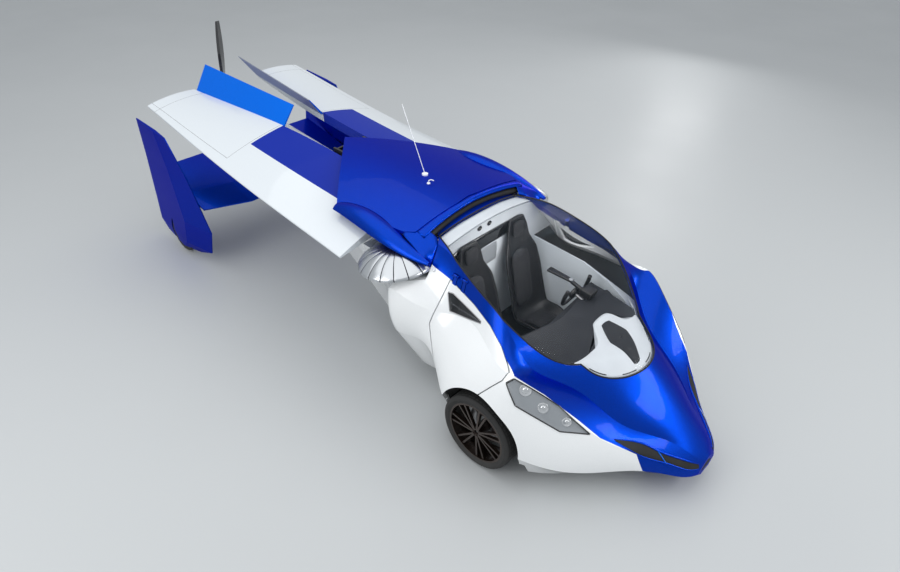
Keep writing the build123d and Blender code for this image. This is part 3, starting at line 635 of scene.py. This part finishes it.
INSERT = [(0.093, -1.951), (0.183, -1.955), (0.163, -2.123), (0.014, -2.340), (-0.060, -2.338),
          (-0.046, -2.116)]
loop = soft_outline(INSERT, 10, 0.35)
middle = np.mean(INSERT, 0)
rings = np.array([[[x, y, cover_height(x, y, 0.0065)] for x, y in middle + (loop - middle) * k]
                  for k in (0.04, 0.2, 0.35, 0.5, 0.65, 0.8, 0.9, 0.97, 1.0)])
rings[-1, :, 2] -= 0.007
grid("surround_insert", rings, dash, "ring", toward=Z)
print("cover in place")

# %% Demister slots round the nose of the cabin
slot_turns = np.linspace(outer_turns[0] + 0.10, outer_turns[-1] - 0.10, 13)
for k in range(6):
    run = np.linspace(slot_turns[2 * k], slot_turns[2 * k + 1], 10)
    line = on_front(run) * 0.985 + CABIN * 0.015
    grid(f"demister_slot_{k + 1}", tube([[x, y, cover_height(x, y)] for x, y in line], 0.0045, 6), gloss)
print("demister slots: 6")

# %% [markdown]
# ## Seats
# Each seat is a bucket: a curved line runs up the middle of the cushion and the back, and at
# every step the cross-section is a shallow trough with raised sides. Three pads lie in it. They
# start as crowned slabs and are inflated by a short cloth simulation, which gives them the
# soft, pulled-in sides of stuffed upholstery.

# %% Bucket shells and pads
# Columns: y, z, half width, height of the raised side.
SEAT = np.array([
    (-1.450, 0.375, 0.182, 0.050), (-1.320, 0.385, 0.200, 0.075), (-1.180, 0.372, 0.206, 0.085),
    (-1.095, 0.420, 0.208, 0.095), (-1.045, 0.580, 0.208, 0.085), (-1.000, 0.780, 0.210, 0.070),
    (-0.966, 0.950, 0.196, 0.050), (-0.945, 1.080, 0.135, 0.022), (-0.932, 1.180, 0.118, 0.016),
    (-0.922, 1.265, 0.085, 0.008)])
SEAT_X, SEAT_STEPS, PAD_STEPS = 0.292, 60, 22
# Columns: name, start and end as shares of the seat's line, half width, thickness.
PADS = (("cushion", 0.03, 0.24, 0.125, 0.042), ("backrest", 0.36, 0.70, 0.120, 0.036),
        ("headrest", 0.80, 0.97, 0.070, 0.030))
seat_line = smooth_path(SEAT[:, :2], SEAT_STEPS)
seat_ahead = unit(np.gradient(seat_line, axis=0))
seat_up = np.column_stack([-seat_ahead[:, 1], seat_ahead[:, 0]])


def on_seat(at, up, x, rise):
    """Points at x across the seat that stand off its line by rise."""
    return np.stack([x, at[:, :1] + up[:, :1] * rise, at[:, 1:] + up[:, 1:] * rise], -1)


def bucket(centre_x):
    """Closed bucket: front face is a trough of raised sides, back face lies a wall behind it."""
    share = np.linspace(0, len(SEAT) - 1, SEAT_STEPS)
    half, side = (np.interp(share, np.arange(len(SEAT)), SEAT[:, k])[:, None] for k in (2, 3))
    across = np.linspace(-1, 1, 25)
    trough = side * np.abs(across) ** 3.2
    wall = 0.030 - 0.010 * across ** 2 + 0.012 * (1 - across ** 2)
    x = np.concatenate([across * half, (across * half)[:, ::-1]], 1)
    rise = np.concatenate([trough, (trough - wall)[:, ::-1]], 1)
    return on_seat(seat_line, seat_up, centre_x + x, rise)


def pad(start, end, half, thick, centre_x):
    """Crowned slab in the trough between two shares of the seat's line."""
    share, steps = np.linspace(start, end, PAD_STEPS), np.linspace(0, 1, SEAT_STEPS)
    at, up = (np.column_stack([np.interp(share, steps, column) for column in both.T])
              for both in (seat_line, seat_up))
    wide, high = superellipse(32, 0.35, 0.6)
    close = np.sqrt(np.clip(1 - np.abs(np.linspace(-1, 1, PAD_STEPS)) ** 6, 0.06, 1))[:, None]
    return on_seat(at, up, centre_x + half * wide * close, 0.006 + thick * (0.5 + 0.5 * high) * close)


def settled(piece):
    """Mesh of a piece with its modifiers applied."""
    return bpy.data.meshes.new_from_object(piece.evaluated_get(bpy.context.evaluated_depsgraph_get()))


def corners_of(mesh):
    """Vertex places of a mesh as an array."""
    found = np.empty(len(mesh.vertices) * 3)
    mesh.vertices.foreach_get("co", found)
    return found.reshape(-1, 3)


def inflate(piece, most):
    """Remesh, blow up with Cloth for twenty frames, cap how far points move, and keep the result."""
    material = piece.data.materials[0]
    bpy.context.view_layer.objects.active = piece
    remesh = piece.modifiers.new("even", "REMESH")
    remesh.mode = "VOXEL"
    remesh.voxel_size = 0.008
    bpy.context.view_layer.update()
    start = settled(piece)
    piece.modifiers.clear()
    piece.data = start
    if not start.materials:
        start.materials.append(material)
    cloth = piece.modifiers.new("fill", "CLOTH")
    cloth.settings.use_pressure = True
    cloth.settings.uniform_pressure_force = 4.0
    cloth.settings.effector_weights.gravity = 0.0
    cloth.point_cache.frame_start, cloth.point_cache.frame_end = 1, 20
    for step in range(1, 21):
        bpy.context.scene.frame_set(step)
    before = corners_of(start)
    move = corners_of(settled(piece)) - before
    piece.modifiers.clear()
    size = np.linalg.norm(move, axis=1, keepdims=True)
    move *= np.minimum(1.0, most / np.maximum(size, 1e-9))
    start.vertices.foreach_set("co", (before + move).ravel())
    start.polygons.foreach_set("use_smooth", np.ones(len(start.polygons), bool))
    start.update()
    bpy.context.scene.frame_set(1)


for side_name, side in SIDES:
    centre = SEAT_X * side
    shell = grid(f"seat_bucket_{side_name}", bucket(centre), leather)
    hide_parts(f"seat_{side_name}")
    for label, *sizes in PADS:
        piece = grid(f"seat_{label}_{side_name}", pad(*sizes, centre), fabric)
        inflate(piece, 0.008)
print("seats ready")

# %% [markdown]
# ## Yoke
# The control yoke is a tube bent to a wide open loop with thicker grips at its two horns. It
# turns with the CAD yoke, whose plain bar it replaces.

# %% Yoke loop
YOKE = np.array([0.300, -1.560, 0.822])
RAKE = unit(np.array([0.0, 0.9, 0.25]))
YOKE_UP = np.cross(X, RAKE)
HORN = [(-0.150, 0.115), (-0.165, 0.05), (-0.150, -0.03), (-0.085, -0.055), (0.0, -0.040)]
horn = smooth_path(HORN + [(-x, y) for x, y in HORN[-2::-1]], 72)
thick = 0.0125 + 0.0045 * np.clip((np.abs(np.linspace(-1, 1, 72)) - 0.5) * 4, 0, 1)
yoke_path = YOKE + horn[:, :1] * X + horn[:, 1:] * YOKE_UP
loop = grid("yoke_loop", tube(yoke_path, thick, 16), leather, body="yoke", slot="black_plastic")
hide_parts("yoke")
HUB = ((-0.012, 0.030), (-0.012, 0.044), (-0.004, 0.050), (0.014, 0.050), (0.022, 0.044), (0.024, 0.004))
grid("yoke_hub", turned(HUB, YOKE, RAKE, X, YOKE_UP, 40), trim, body="yoke")
print("yoke ready")

# %% [markdown]
# ## Bulkhead trim
# Behind the seats the white bulkhead carries a long black panel with rounded ends, a squarer
# light plate under it and two round breather holes. A white shelf closes the gap to the glass.

# %% Bulkhead panel and holes
WALL_Y = -0.8905
PANEL = [(-0.46, 1.225), (-0.30, 1.262), (0.215, 1.262), (0.235, 1.235), (0.225, 1.150), (-0.10, 1.140),
         (-0.44, 1.090), (-0.47, 1.12)]
PLATE = [(-0.150, 1.120), (0.085, 1.120), (0.085, 0.955), (-0.150, 0.955)]
BREATHER = ((0.0, 0.020), (0.004, 0.021), (0.005, 0.016), (0.001, 0.014), (0.001, 0.0005))


def wall_panel(name, corners, finish, slot, stand):
    """Rounded plate on the bulkhead: an outline shrunk in rings and stood off the wall."""
    outline = soft_outline(corners, 64 // len(corners), 0.25)
    mid = outline.mean(0)
    rows = []
    for k, out in ((1.0, 0.0), (1.0, 0.8), (0.985, 1.0), (0.6, 1.0), (0.2, 1.0), (0.01, 1.0)):
        flat = mid + (outline - mid) * k
        rows.append(np.column_stack([flat[:, 0], np.full(len(flat), WALL_Y - stand * out), flat[:, 1]]))
    grid(name, rows, finish, "ring", slot=slot, toward=-Y)


wall_panel("bulkhead_panel", PANEL, gloss, "black_plastic", 0.012)
wall_panel("bulkhead_plate", PLATE, liner, "white_paint", 0.006)
for k, x in enumerate((-0.135, -0.020)):
    hole = turned(BREATHER, np.array([x, WALL_Y, 1.335]), -Y, 1.25 * X, Z, 32)
    grid(f"breather_hole_{k + 1}", hole, gloss, "ring", toward=-Y)

shelf_x = np.linspace(-0.50, 0.50, 41)
shelf = []
for y in np.linspace(-0.892, -0.768, 9):
    high = np.array([height_on(glass_tree, x, y) for x in shelf_x], float)
    good = ~np.isnan(high)
    under = np.interp(shelf_x, shelf_x[good], high[good]) - 0.019
    shelf.append(np.column_stack([shelf_x, np.full(41, y), under]))
grid("rear_shelf", thin(np.array(shelf).transpose(1, 0, 2), 0.003), cabin_white)
print("bulkhead trimmed")

# %% [markdown]
# ## Edges of glass and lamps
# The rims of the side windows and headlights come from the CAD meshes: starting at the face
# that looks outwards, neighbouring faces are gathered while the surface stays smooth, and the
# border of that patch is the rim. A thin tube along it gives a seal or a frame.

# %% Rims from a mesh
def rim(name, outward, bend=0.90):
    """Border loop of a node's smooth patch that faces outward, in order, and the patch's normal."""
    mesh = NODES[name].data
    key = {}
    where = [key.setdefault(tuple(np.round(v.co, 5)), len(key)) for v in mesh.vertices]
    spot = np.array(list(key))
    faces = [[where[i] for i in f.vertices] for f in mesh.polygons]
    faces = [f for f in faces if len(set(f)) == len(f)]
    corner = spot[np.array([f[:3] for f in faces])]
    normal = np.cross(corner[:, 1] - corner[:, 0], corner[:, 2] - corner[:, 0])
    normal /= np.maximum(np.linalg.norm(normal, axis=1, keepdims=True), 1e-12)
    edges = [list(zip(f, f[1:] + f[:1])) for f in faces]
    sharing = {}
    for k, around in enumerate(edges):
        for pair in around:
            sharing.setdefault(frozenset(pair), []).append(k)
    taken, queue = set(), [int((normal @ np.asarray(outward)).argmax())]
    while queue:
        k = queue.pop()
        if k in taken:
            continue
        taken.add(k)
        for pair in edges[k]:
            queue += [m for m in sharing[frozenset(pair)] if m not in taken and normal[m] @ normal[k] > bend]
    after = {a: b for k in taken for a, b in edges[k]
             if sum(m in taken for m in sharing[frozenset((a, b))]) == 1}
    loops = []
    while after:
        start = next(iter(after))
        found, at = [start], after.pop(start)
        while at in after:
            found.append(at)
            at = after.pop(at)
        loops.append(spot[found])
    return max(loops, key=len), unit(normal[list(taken)].mean(0))


def even_loop(points, count):
    """The same closed loop with points at even distances along it."""
    closed = np.concatenate([points, points[:1]])
    far = np.concatenate([[0], np.cumsum(np.linalg.norm(np.diff(closed, axis=0), axis=1))])
    at = np.linspace(0, far[-1], count, endpoint=False)
    return np.column_stack([np.interp(at, far, closed[:, k]) for k in range(3)])


for side_name, side in SIDES:
    border, _ = rim(f"door_window_{side_name}", (0.9 * side, 0, 0.4))
    grid(f"window_frame_{side_name}", tube(even_loop(border, 90), 0.0045, 8, closed=True), steel, "loop",
         f"{side_name}_door", "black_plastic")
print("window frames ready")

# %% [markdown]
# ## Headlights
# Behind each clear cover is a silver tray with three round lamps in a row and a black border.
# The tray is the cover's rim shrunk towards its middle and sunk under the cover, so it stays
# inside the space that the CAD cover takes up.

# %% Headlight trays and lamps
# Columns: height, share of the lamp's radius; the reflector's wall, its bowl and a small bulb.
REFLECTOR = ((0.0, 1.0), (0.0032, 1.0), (0.0036, 0.92), (0.0018, 0.84), (0.0006, 0.6), (0.0006, 0.42),
             (0.0030, 0.38), (0.0042, 0.25), (0.0044, 0.02))
LAMPS = {"lamp_high": 0.17, "lamp_middle": 0.46, "lamp_low": 0.74}
for side_name, side in SIDES:
    border, facing = rim(f"headlight_{side_name}", (0.6 * side, -0.45, 0.66), 0.86)
    even = even_loop(border, 120)
    grid(f"headlight_border_{side_name}", tube(even, 0.0050, 8, closed=True), gloss, "loop")
    lamp_tree = tree(f"headlight_{side_name}")
    mid = even.mean(0)
    one = unit(np.cross(facing, Z))
    two = np.cross(facing, one)
    rows = []
    for share in (0.97, 0.94, 0.7, 0.45, 0.2, 0.02):
        sunk = facing * (0.0015 if share > 0.95 else 0.0068)
        spots = mid + (even - mid) * share
        hits = [lamp_tree.ray_cast(Vector(p + facing * 0.2), Vector(-facing))[0] for p in spots]
        rows.append([np.array(hit) - sunk if hit is not None else p for hit, p in zip(hits, spots)])
    grid(f"headlight_tray_{side_name}", rows, liner, "ring", toward=facing)
    top, foot = even[even[:, 2].argmax()], even[even[:, 1].argmin()]
    for label, share in LAMPS.items():
        spot = top + (foot - top) * share
        spot = spot + (mid - (top + foot) / 2) * (1.1 - 2.2 * abs(share - 0.5))
        hit = lamp_tree.ray_cast(Vector(spot + facing * 0.2), Vector(-facing))[0]
        if hit is not None:
            profile = [(high, wide * (0.046 - 0.018 * share)) for high, wide in REFLECTOR]
            lamp = turned(profile, np.array(hit) - facing * 0.0064, facing, one, two, 32)
            grid(f"{label}_{side_name}", lamp, silver, "ring", toward=facing)
print("headlights ready")

# %% [markdown]
# ## Nose slots
# Low on each side of the nose a long dark slot opens under a blue brow, with one small upright
# vane across it. It is a dark patch laid on the shell, a brow above, a thinner lip below and the vane.

# %% Nose slots, brows and vanes
shell_tree = tree("upper_shell", "fender_left", "fender_right", "floor_pan")
SLOT_TOP = [(0.530, -2.515, 0.512), (0.365, -2.643, 0.443), (0.278, -2.781, 0.377), (0.170, -2.920, 0.318),
            (0.105, -2.990, 0.282)]
SLOT_LOW = [(0.522, -2.530, 0.494), (0.400, -2.695, 0.372), (0.290, -2.835, 0.318), (0.190, -2.945, 0.262),
            (0.112, -2.998, 0.250)]
OUT = np.array([0.60, -0.66, 0.45])


def on_shell(points, out, lift):
    """Points moved along the outward direction onto the shell, then lifted off it."""
    found = []
    for p in points:
        spot, normal, *_ = shell_tree.ray_cast(Vector(p + out * 0.25), Vector(-out))
        found.append(np.array(spot) + np.array(normal) * lift if spot is not None else p)
    return np.array(found)


for side_name, side in SIDES:
    mirror = np.array([side, 1, 1])
    out = OUT * mirror
    top, low = (smooth_path(line * mirror, 40) for line in (np.array(SLOT_TOP), np.array(SLOT_LOW)))
    rows = [on_shell(top * (1 - k) + low * k, out, 0.0016) for k in np.linspace(0, 1, 9)]
    grid(f"nose_slot_{side_name}", rows, rubber, "sheet", toward=out)
    swell = 0.003 + 0.006 * np.sin(np.linspace(0, np.pi, 40))
    grid(f"nose_brow_{side_name}", tube(on_shell(top, out, 0.0), swell, 10), blue)
    grid(f"nose_lip_{side_name}", tube(on_shell(low, out, 0.0), swell * 0.7, 10), blue)
    vane = on_shell(np.linspace(top[17], low[19], 8), out, 0.003)
    grid(f"nose_vane_{side_name}", tube(vane, 0.004, 8), bright)
print("nose slots ready")

# %% [markdown]
# ## Deck edge
# The deck overhangs the cockpit frame with a rounded brow, and a black seal fills the step under
# it. Outboard the same skin sweeps down over the wing's fan to the frame's corner.

# %% Brow, seal and shoulder covers
BROW_BACK, SEAL_BACK, SEAL_FRONT = -0.643, -0.650, -0.640
across = np.linspace(-0.590, 0.590, 61)
wide = np.abs(across)
deck_z = np.interp(wide, [0, 0.2, 0.38, 0.46, 0.52, 0.56, 0.6],
                   [1.475, 1.465, 1.446, 1.433, 1.422, 1.413, 1.404])
frame_z = np.interp(wide, [0, 0.2, 0.38, 0.46, 0.52, 0.6], [1.400, 1.391, 1.366, 1.354, 1.347, 1.330])
brow_y = -0.700 - 0.036 * (across / 0.588) ** 2
# Columns: share of the way forward, height over the deck's line.
BROW = ((0.0, -0.002), (0.4, -0.003), (0.75, -0.008), (0.93, -0.017), (1.0, -0.028), (0.96, -0.032),
        (0.5, -0.022), (0.0, -0.016))
# Columns: share of the way forward, share of the way up from the frame to the deck.
SEAL = ((0.0, 0.85), (0.8, 0.75), (1.0, 0.45), (1.02, 0.0), (0.0, 0.0))
brow = [np.column_stack([across, BROW_BACK + (brow_y - BROW_BACK) * k, deck_z + drop]) for k, drop in BROW]
grid("deck_brow", np.array(brow).transpose(1, 0, 2), blue)
seal = [np.column_stack([across, SEAL_BACK + (brow_y - SEAL_FRONT) * k,
                         frame_z - 0.004 + (deck_z - 0.030 - frame_z) * up]) for k, up in SEAL]
grid("deck_seal", np.array(seal).transpose(1, 0, 2), rubber)

COVER_HIGH = [(0.560, -0.650, 1.411), (0.655, -0.572, 1.386), (0.682, -0.690, 1.346), (0.697, -0.780, 1.322),
              (0.704, -0.856, 1.292)]
COVER_LOW = [(0.490, -0.780, 1.355), (0.535, -0.822, 1.343), (0.585, -0.849, 1.306), (0.636, -0.868, 1.252),
             (0.672, -0.876, 1.214)]
for side_name, side in SIDES:
    high, low = (smooth_path(np.array(line) * [side, 1, 1], 30) for line in (COVER_HIGH, COVER_LOW))
    skin = np.array([high * (1 - k) + low * k + 0.022 * math.sin(math.pi * k) * Z
                     for k in np.linspace(0, 1, 12)])
    grid(f"shoulder_cover_{side_name}", thin(skin.transpose(1, 0, 2), 0.004), blue)
print("deck edge ready")

# %% [markdown]
# ## Small hooks
# Little white hooks stand by the rear corners of the doors and beside the aerial. Each is a thin
# tube bent over, whose foot is found by casting a ray down on the skin.

# %% Hooks
skin_tree = tree("rear_deck", "upper_shell", "quarter_panel_left", "quarter_panel_right")
# Plan place, and the way that the hook bends.
HOOKS = {"door_hook_left": (0.668, -0.915, 1.0), "door_hook_right": (-0.668, -0.915, -1.0),
         "deck_hook": (-0.085, -0.280, 1.0)}
FOOT = ((-0.002, 0.015), (0.006, 0.015), (0.011, 0.008), (0.012, 0.001))
for name, (x, y, way) in HOOKS.items():
    z = height_on(skin_tree, x, y)
    bend = smooth_path([(x, y, z - 0.002), (x, y, z + 0.022), (x + 0.012 * way, y - 0.012, z + 0.034),
                        (x + 0.030 * way, y - 0.030, z + 0.026)], 24)
    grid(name, tube(bend, 0.0045, 10), white)
    grid(name + "_foot", turned(FOOT, np.array([x, y, z]), Z, X, Y, 24), white)
print("hooks ready")

# %% [markdown]
# ## Ribbed fans
# The silver dome at each wing root is built from pressed gores. Each is slightly domed between
# its seams, so the surface is the CAD dome's profile turned about the leaning hinge, with a
# ripple of eighteen waves that dies out at the apex.

# %% Fan gores
def three_point(a, b, c, count):
    """Points on the circular arc that starts at a, passes b and ends at c."""
    a, b, c = (np.array(p) for p in (a, b, c))
    centre = np.linalg.solve(2 * np.array([b - a, c - a]), np.array([b @ b - a @ a, c @ c - a @ a]))
    angles = np.unwrap([math.atan2(*(p - centre)[::-1]) for p in (a, b, c)])
    turn = np.linspace(angles[0], angles[2], count)
    return centre + np.linalg.norm(a - centre) * np.column_stack([np.cos(turn), np.sin(turn)])


def fan_gores(side):
    """Dome's profile turned about the hinge, swollen between the joints by a power of a sine."""
    axis = unit(np.array([side * LEAN_OUT, LEAN_AFT, 1.0]))
    one = unit(np.cross(axis, Y))
    two = np.cross(axis, one)
    arc = three_point((DOME_R, DOME_EDGE), (0.72 * DOME_R, 0.72 * DOME_H), (DOME_TOP_R, DOME_H), 26)
    profile = np.concatenate([[(DOME_R + 0.0005, 0.001)], arc])
    slope = unit(np.gradient(profile, axis=0))
    out = np.column_stack([slope[:, 1], -slope[:, 0]])
    if out[5, 1] < 0:
        out = -out
    turn = circle(480)
    ripple = np.abs(np.sin(GORES / 2 * turn)) ** 0.6
    swell = 0.0006 + 0.0036 * ripple * np.clip((profile[:, :1] - 0.06) / 0.1, 0, 1)
    radius, height = (profile[:, k:k + 1] + out[:, k:k + 1] * swell for k in (0, 1))
    round_ = np.cos(turn)[:, None] * one + np.sin(turn)[:, None] * two
    centre = np.array([side * HINGE_X, HINGE_Y, HINGE_Z])
    return centre + height[..., None] * axis + radius[..., None] * round_


for side_name, side in SIDES:
    grid(f"fan_gores_{side_name}", fan_gores(side), gore, "ring", f"{side_name}_wing", toward=Z)
print("fan gores:", GORES, "each")

# %% [markdown]
# ## Arm and instrument pod
# Before the left seat a black tapered arm reaches forward to a small instrument pod over the yoke.

# %% Arm and pod
def bar(name, start, end, steps, wide, high, power=0.4):
    """Straight bar whose section is a superellipse of the given width and height."""
    path = np.linspace(start, end, steps)
    ahead = unit(np.gradient(path, axis=0))
    across_ = unit(np.cross(ahead, Z))
    rise = np.cross(across_, ahead)
    c, s = (part[:, None] for part in superellipse(24, power, power))
    wide, high = (np.broadcast_to(size, steps)[:, None, None] / 2 for size in (wide, high))
    grid(name, path[:, None] + wide * c * across_[:, None] + high * s * rise[:, None], trim)


bar("throttle_arm", (0.335, -1.270, 0.905), (0.337, -1.508, 0.897), 16, np.linspace(0.062, 0.040, 16), 0.022)
bar("instrument_pod", (0.345, -1.615, 0.870), (0.345, -1.705, 0.858), 10, 0.110, 0.066, 0.3)
bar("pod_stalk", (0.330, -1.500, 0.895), (0.306, -1.640, 0.880), 8, 0.030, 0.026)
KNOB = ((0.904, 0.019), (0.910, 0.019), (0.911, 0.013), (0.909, 0.001))
knob = turned(KNOB, np.array([0.338, -1.490, 0]), Z, X, Y, 32)
grid("arm_knob", knob, liner, "ring", slot="steel", toward=Z)
print("arm and pod ready")

# %% [markdown]
# ## Front brakes and wheel caps
# Seen between the spokes is a plain disc with its caliper, on the knuckle. Each front wheel has
# a centre cap.

# %% Brakes and caps
# Columns: distance outwards along the axle, radius.
DISC = ((-0.048, 0.070), (-0.048, 0.150), (-0.044, 0.152), (-0.034, 0.152), (-0.030, 0.150), (-0.030, 0.070))
CALIPER = np.array([(-0.068, 0.100), (-0.068, 0.158), (-0.060, 0.164), (-0.018, 0.164), (-0.010, 0.158),
                    (-0.010, 0.100), (-0.026, 0.098), (-0.052, 0.098)])
CAP = ((0.0605, 0.034), (0.064, 0.033), (0.066, 0.028), (0.067, 0.004))
for side_name, side in SIDES:
    centre = np.array(FRONT_AXLE) * [side, 1, 1]
    axle = side * X
    disc = turned(DISC, centre, axle, Y, Z, 48)
    grid(f"brake_disc_{side_name}", disc, steel, "loop", f"{side_name}_knuckle")
    rows = [centre + CALIPER[:, :1] * axle + CALIPER[:, 1:] * (math.cos(a) * Y + math.sin(a) * Z)
            for a in np.linspace(math.radians(50), math.radians(110), 14)]
    grid(f"brake_caliper_{side_name}", rows, trim, body=f"{side_name}_knuckle", slot="steel")
    cap = turned(CAP, centre, axle, Y, Z, 48)
    grid(f"wheel_cap_{side_name}", cap, gloss, body=f"{side_name}_front_wheel", slot="wheel_finish")
print("brakes and caps ready")

# %% [markdown]
# ## Floor, light and camera
# A plain pale floor, five soft area lights, the smallest of them in the cabin, and the
# photograph's own viewpoint, which was solved from symmetric points of the body.

# %% Stage
def stage_floor():
    """One large pale sheet with a faint gloss, a millimetre below the tyres."""
    f = Finish("studio_floor", (0.485, 0.50, 0.505), 0.34)
    f.set(Roughness=f.span(f.effect(GRAIN, Scale=0.7)["Value"], 0.3, 0.7, 0.38, 0.50))
    mesh = bpy.data.meshes.new("floor")
    half, low = 60.0, -0.001
    corners = [(-half, -half, low), (half, -half, low), (half, half, low), (-half, half, low)]
    mesh.from_pydata(corners, [], [(0, 1, 2, 3)])
    mesh.materials.append(f.material)
    floor = bpy.data.objects.new("floor", mesh)
    bpy.context.scene.collection.objects.link(floor)


def area(name, where, target, size, power):
    """Soft rectangular light aimed at a point."""
    lamp = bpy.data.lights.new(name, "AREA")
    lamp.shape = "RECTANGLE"
    lamp.size, lamp.size_y = size
    lamp.energy = power
    obj = bpy.data.objects.new(name, lamp)
    obj.location = where
    obj.rotation_euler = (Vector(target) - Vector(where)).to_track_quat("-Z", "Y").to_euler()
    bpy.context.scene.collection.objects.link(obj)


stage_floor()
area("overhead", (-1.0, 0.8, 7.5), (-1.0, 0.8, 0), (12.0, 12.0), 390.0)
area("front_strip", (2.5, -7.5, 5.0), (0, -1.0, 0.6), (7.0, 1.2), 210.0)
area("left_strip", (7.5, 1.5, 4.5), (0, 0.5, 0.8), (1.2, 8.0), 80.0)
area("right_fill", (-7.0, 0.5, 4.0), (0, 0.5, 0.6), (4.0, 4.0), 150.0)
area("cabin_fill", (0.0, -1.42, 1.26), (0.0, -0.98, 0.70), (0.5, 0.3), 2.6)
world = bpy.data.worlds.new("studio")
bpy.context.scene.world = world
world.use_nodes = True
world.node_tree.nodes["Background"].inputs["Color"].default_value = (0.86, 0.90, 0.94, 1.0)
world.node_tree.nodes["Background"].inputs["Strength"].default_value = 0.66

CAMERA_PLACE = (-3.6495, -3.8140, 4.1043)
CAMERA_HEADING, CAMERA_PITCH, CAMERA_ROLL = -47.474, 36.128, -1.326
FOCAL_PIXELS, PHOTO_WIDTH, SENSOR = 681.42, 900, 36.0


def photo_camera():
    """Camera from heading, pitch and roll; its lens is the focal length as a share of the frame."""
    az, pitch, roll = (math.radians(a) for a in (CAMERA_HEADING, CAMERA_PITCH, CAMERA_ROLL))
    ahead = np.array([-math.sin(az) * math.cos(pitch), math.cos(az) * math.cos(pitch), -math.sin(pitch)])
    right = np.array([math.cos(az), math.sin(az), 0.0])
    down = np.cross(ahead, right)
    axes = (math.cos(roll) * right + math.sin(roll) * down,
            math.sin(roll) * right - math.cos(roll) * down, -ahead)
    data = bpy.data.cameras.new("photo_view")
    data.sensor_width = SENSOR
    data.lens = FOCAL_PIXELS / PHOTO_WIDTH * SENSOR
    data.clip_end = 200.0
    cam = bpy.data.objects.new("photo_view", data)
    rows = [[*row, place] for row, place in zip(np.transpose(axes), CAMERA_PLACE)]
    cam.matrix_world = Matrix(rows + [[0, 0, 0, 1]])
    bpy.context.scene.collection.objects.link(cam)
    bpy.context.scene.camera = cam


photo_camera()
bpy.context.scene.view_settings.view_transform = "Standard"
print("stage set")
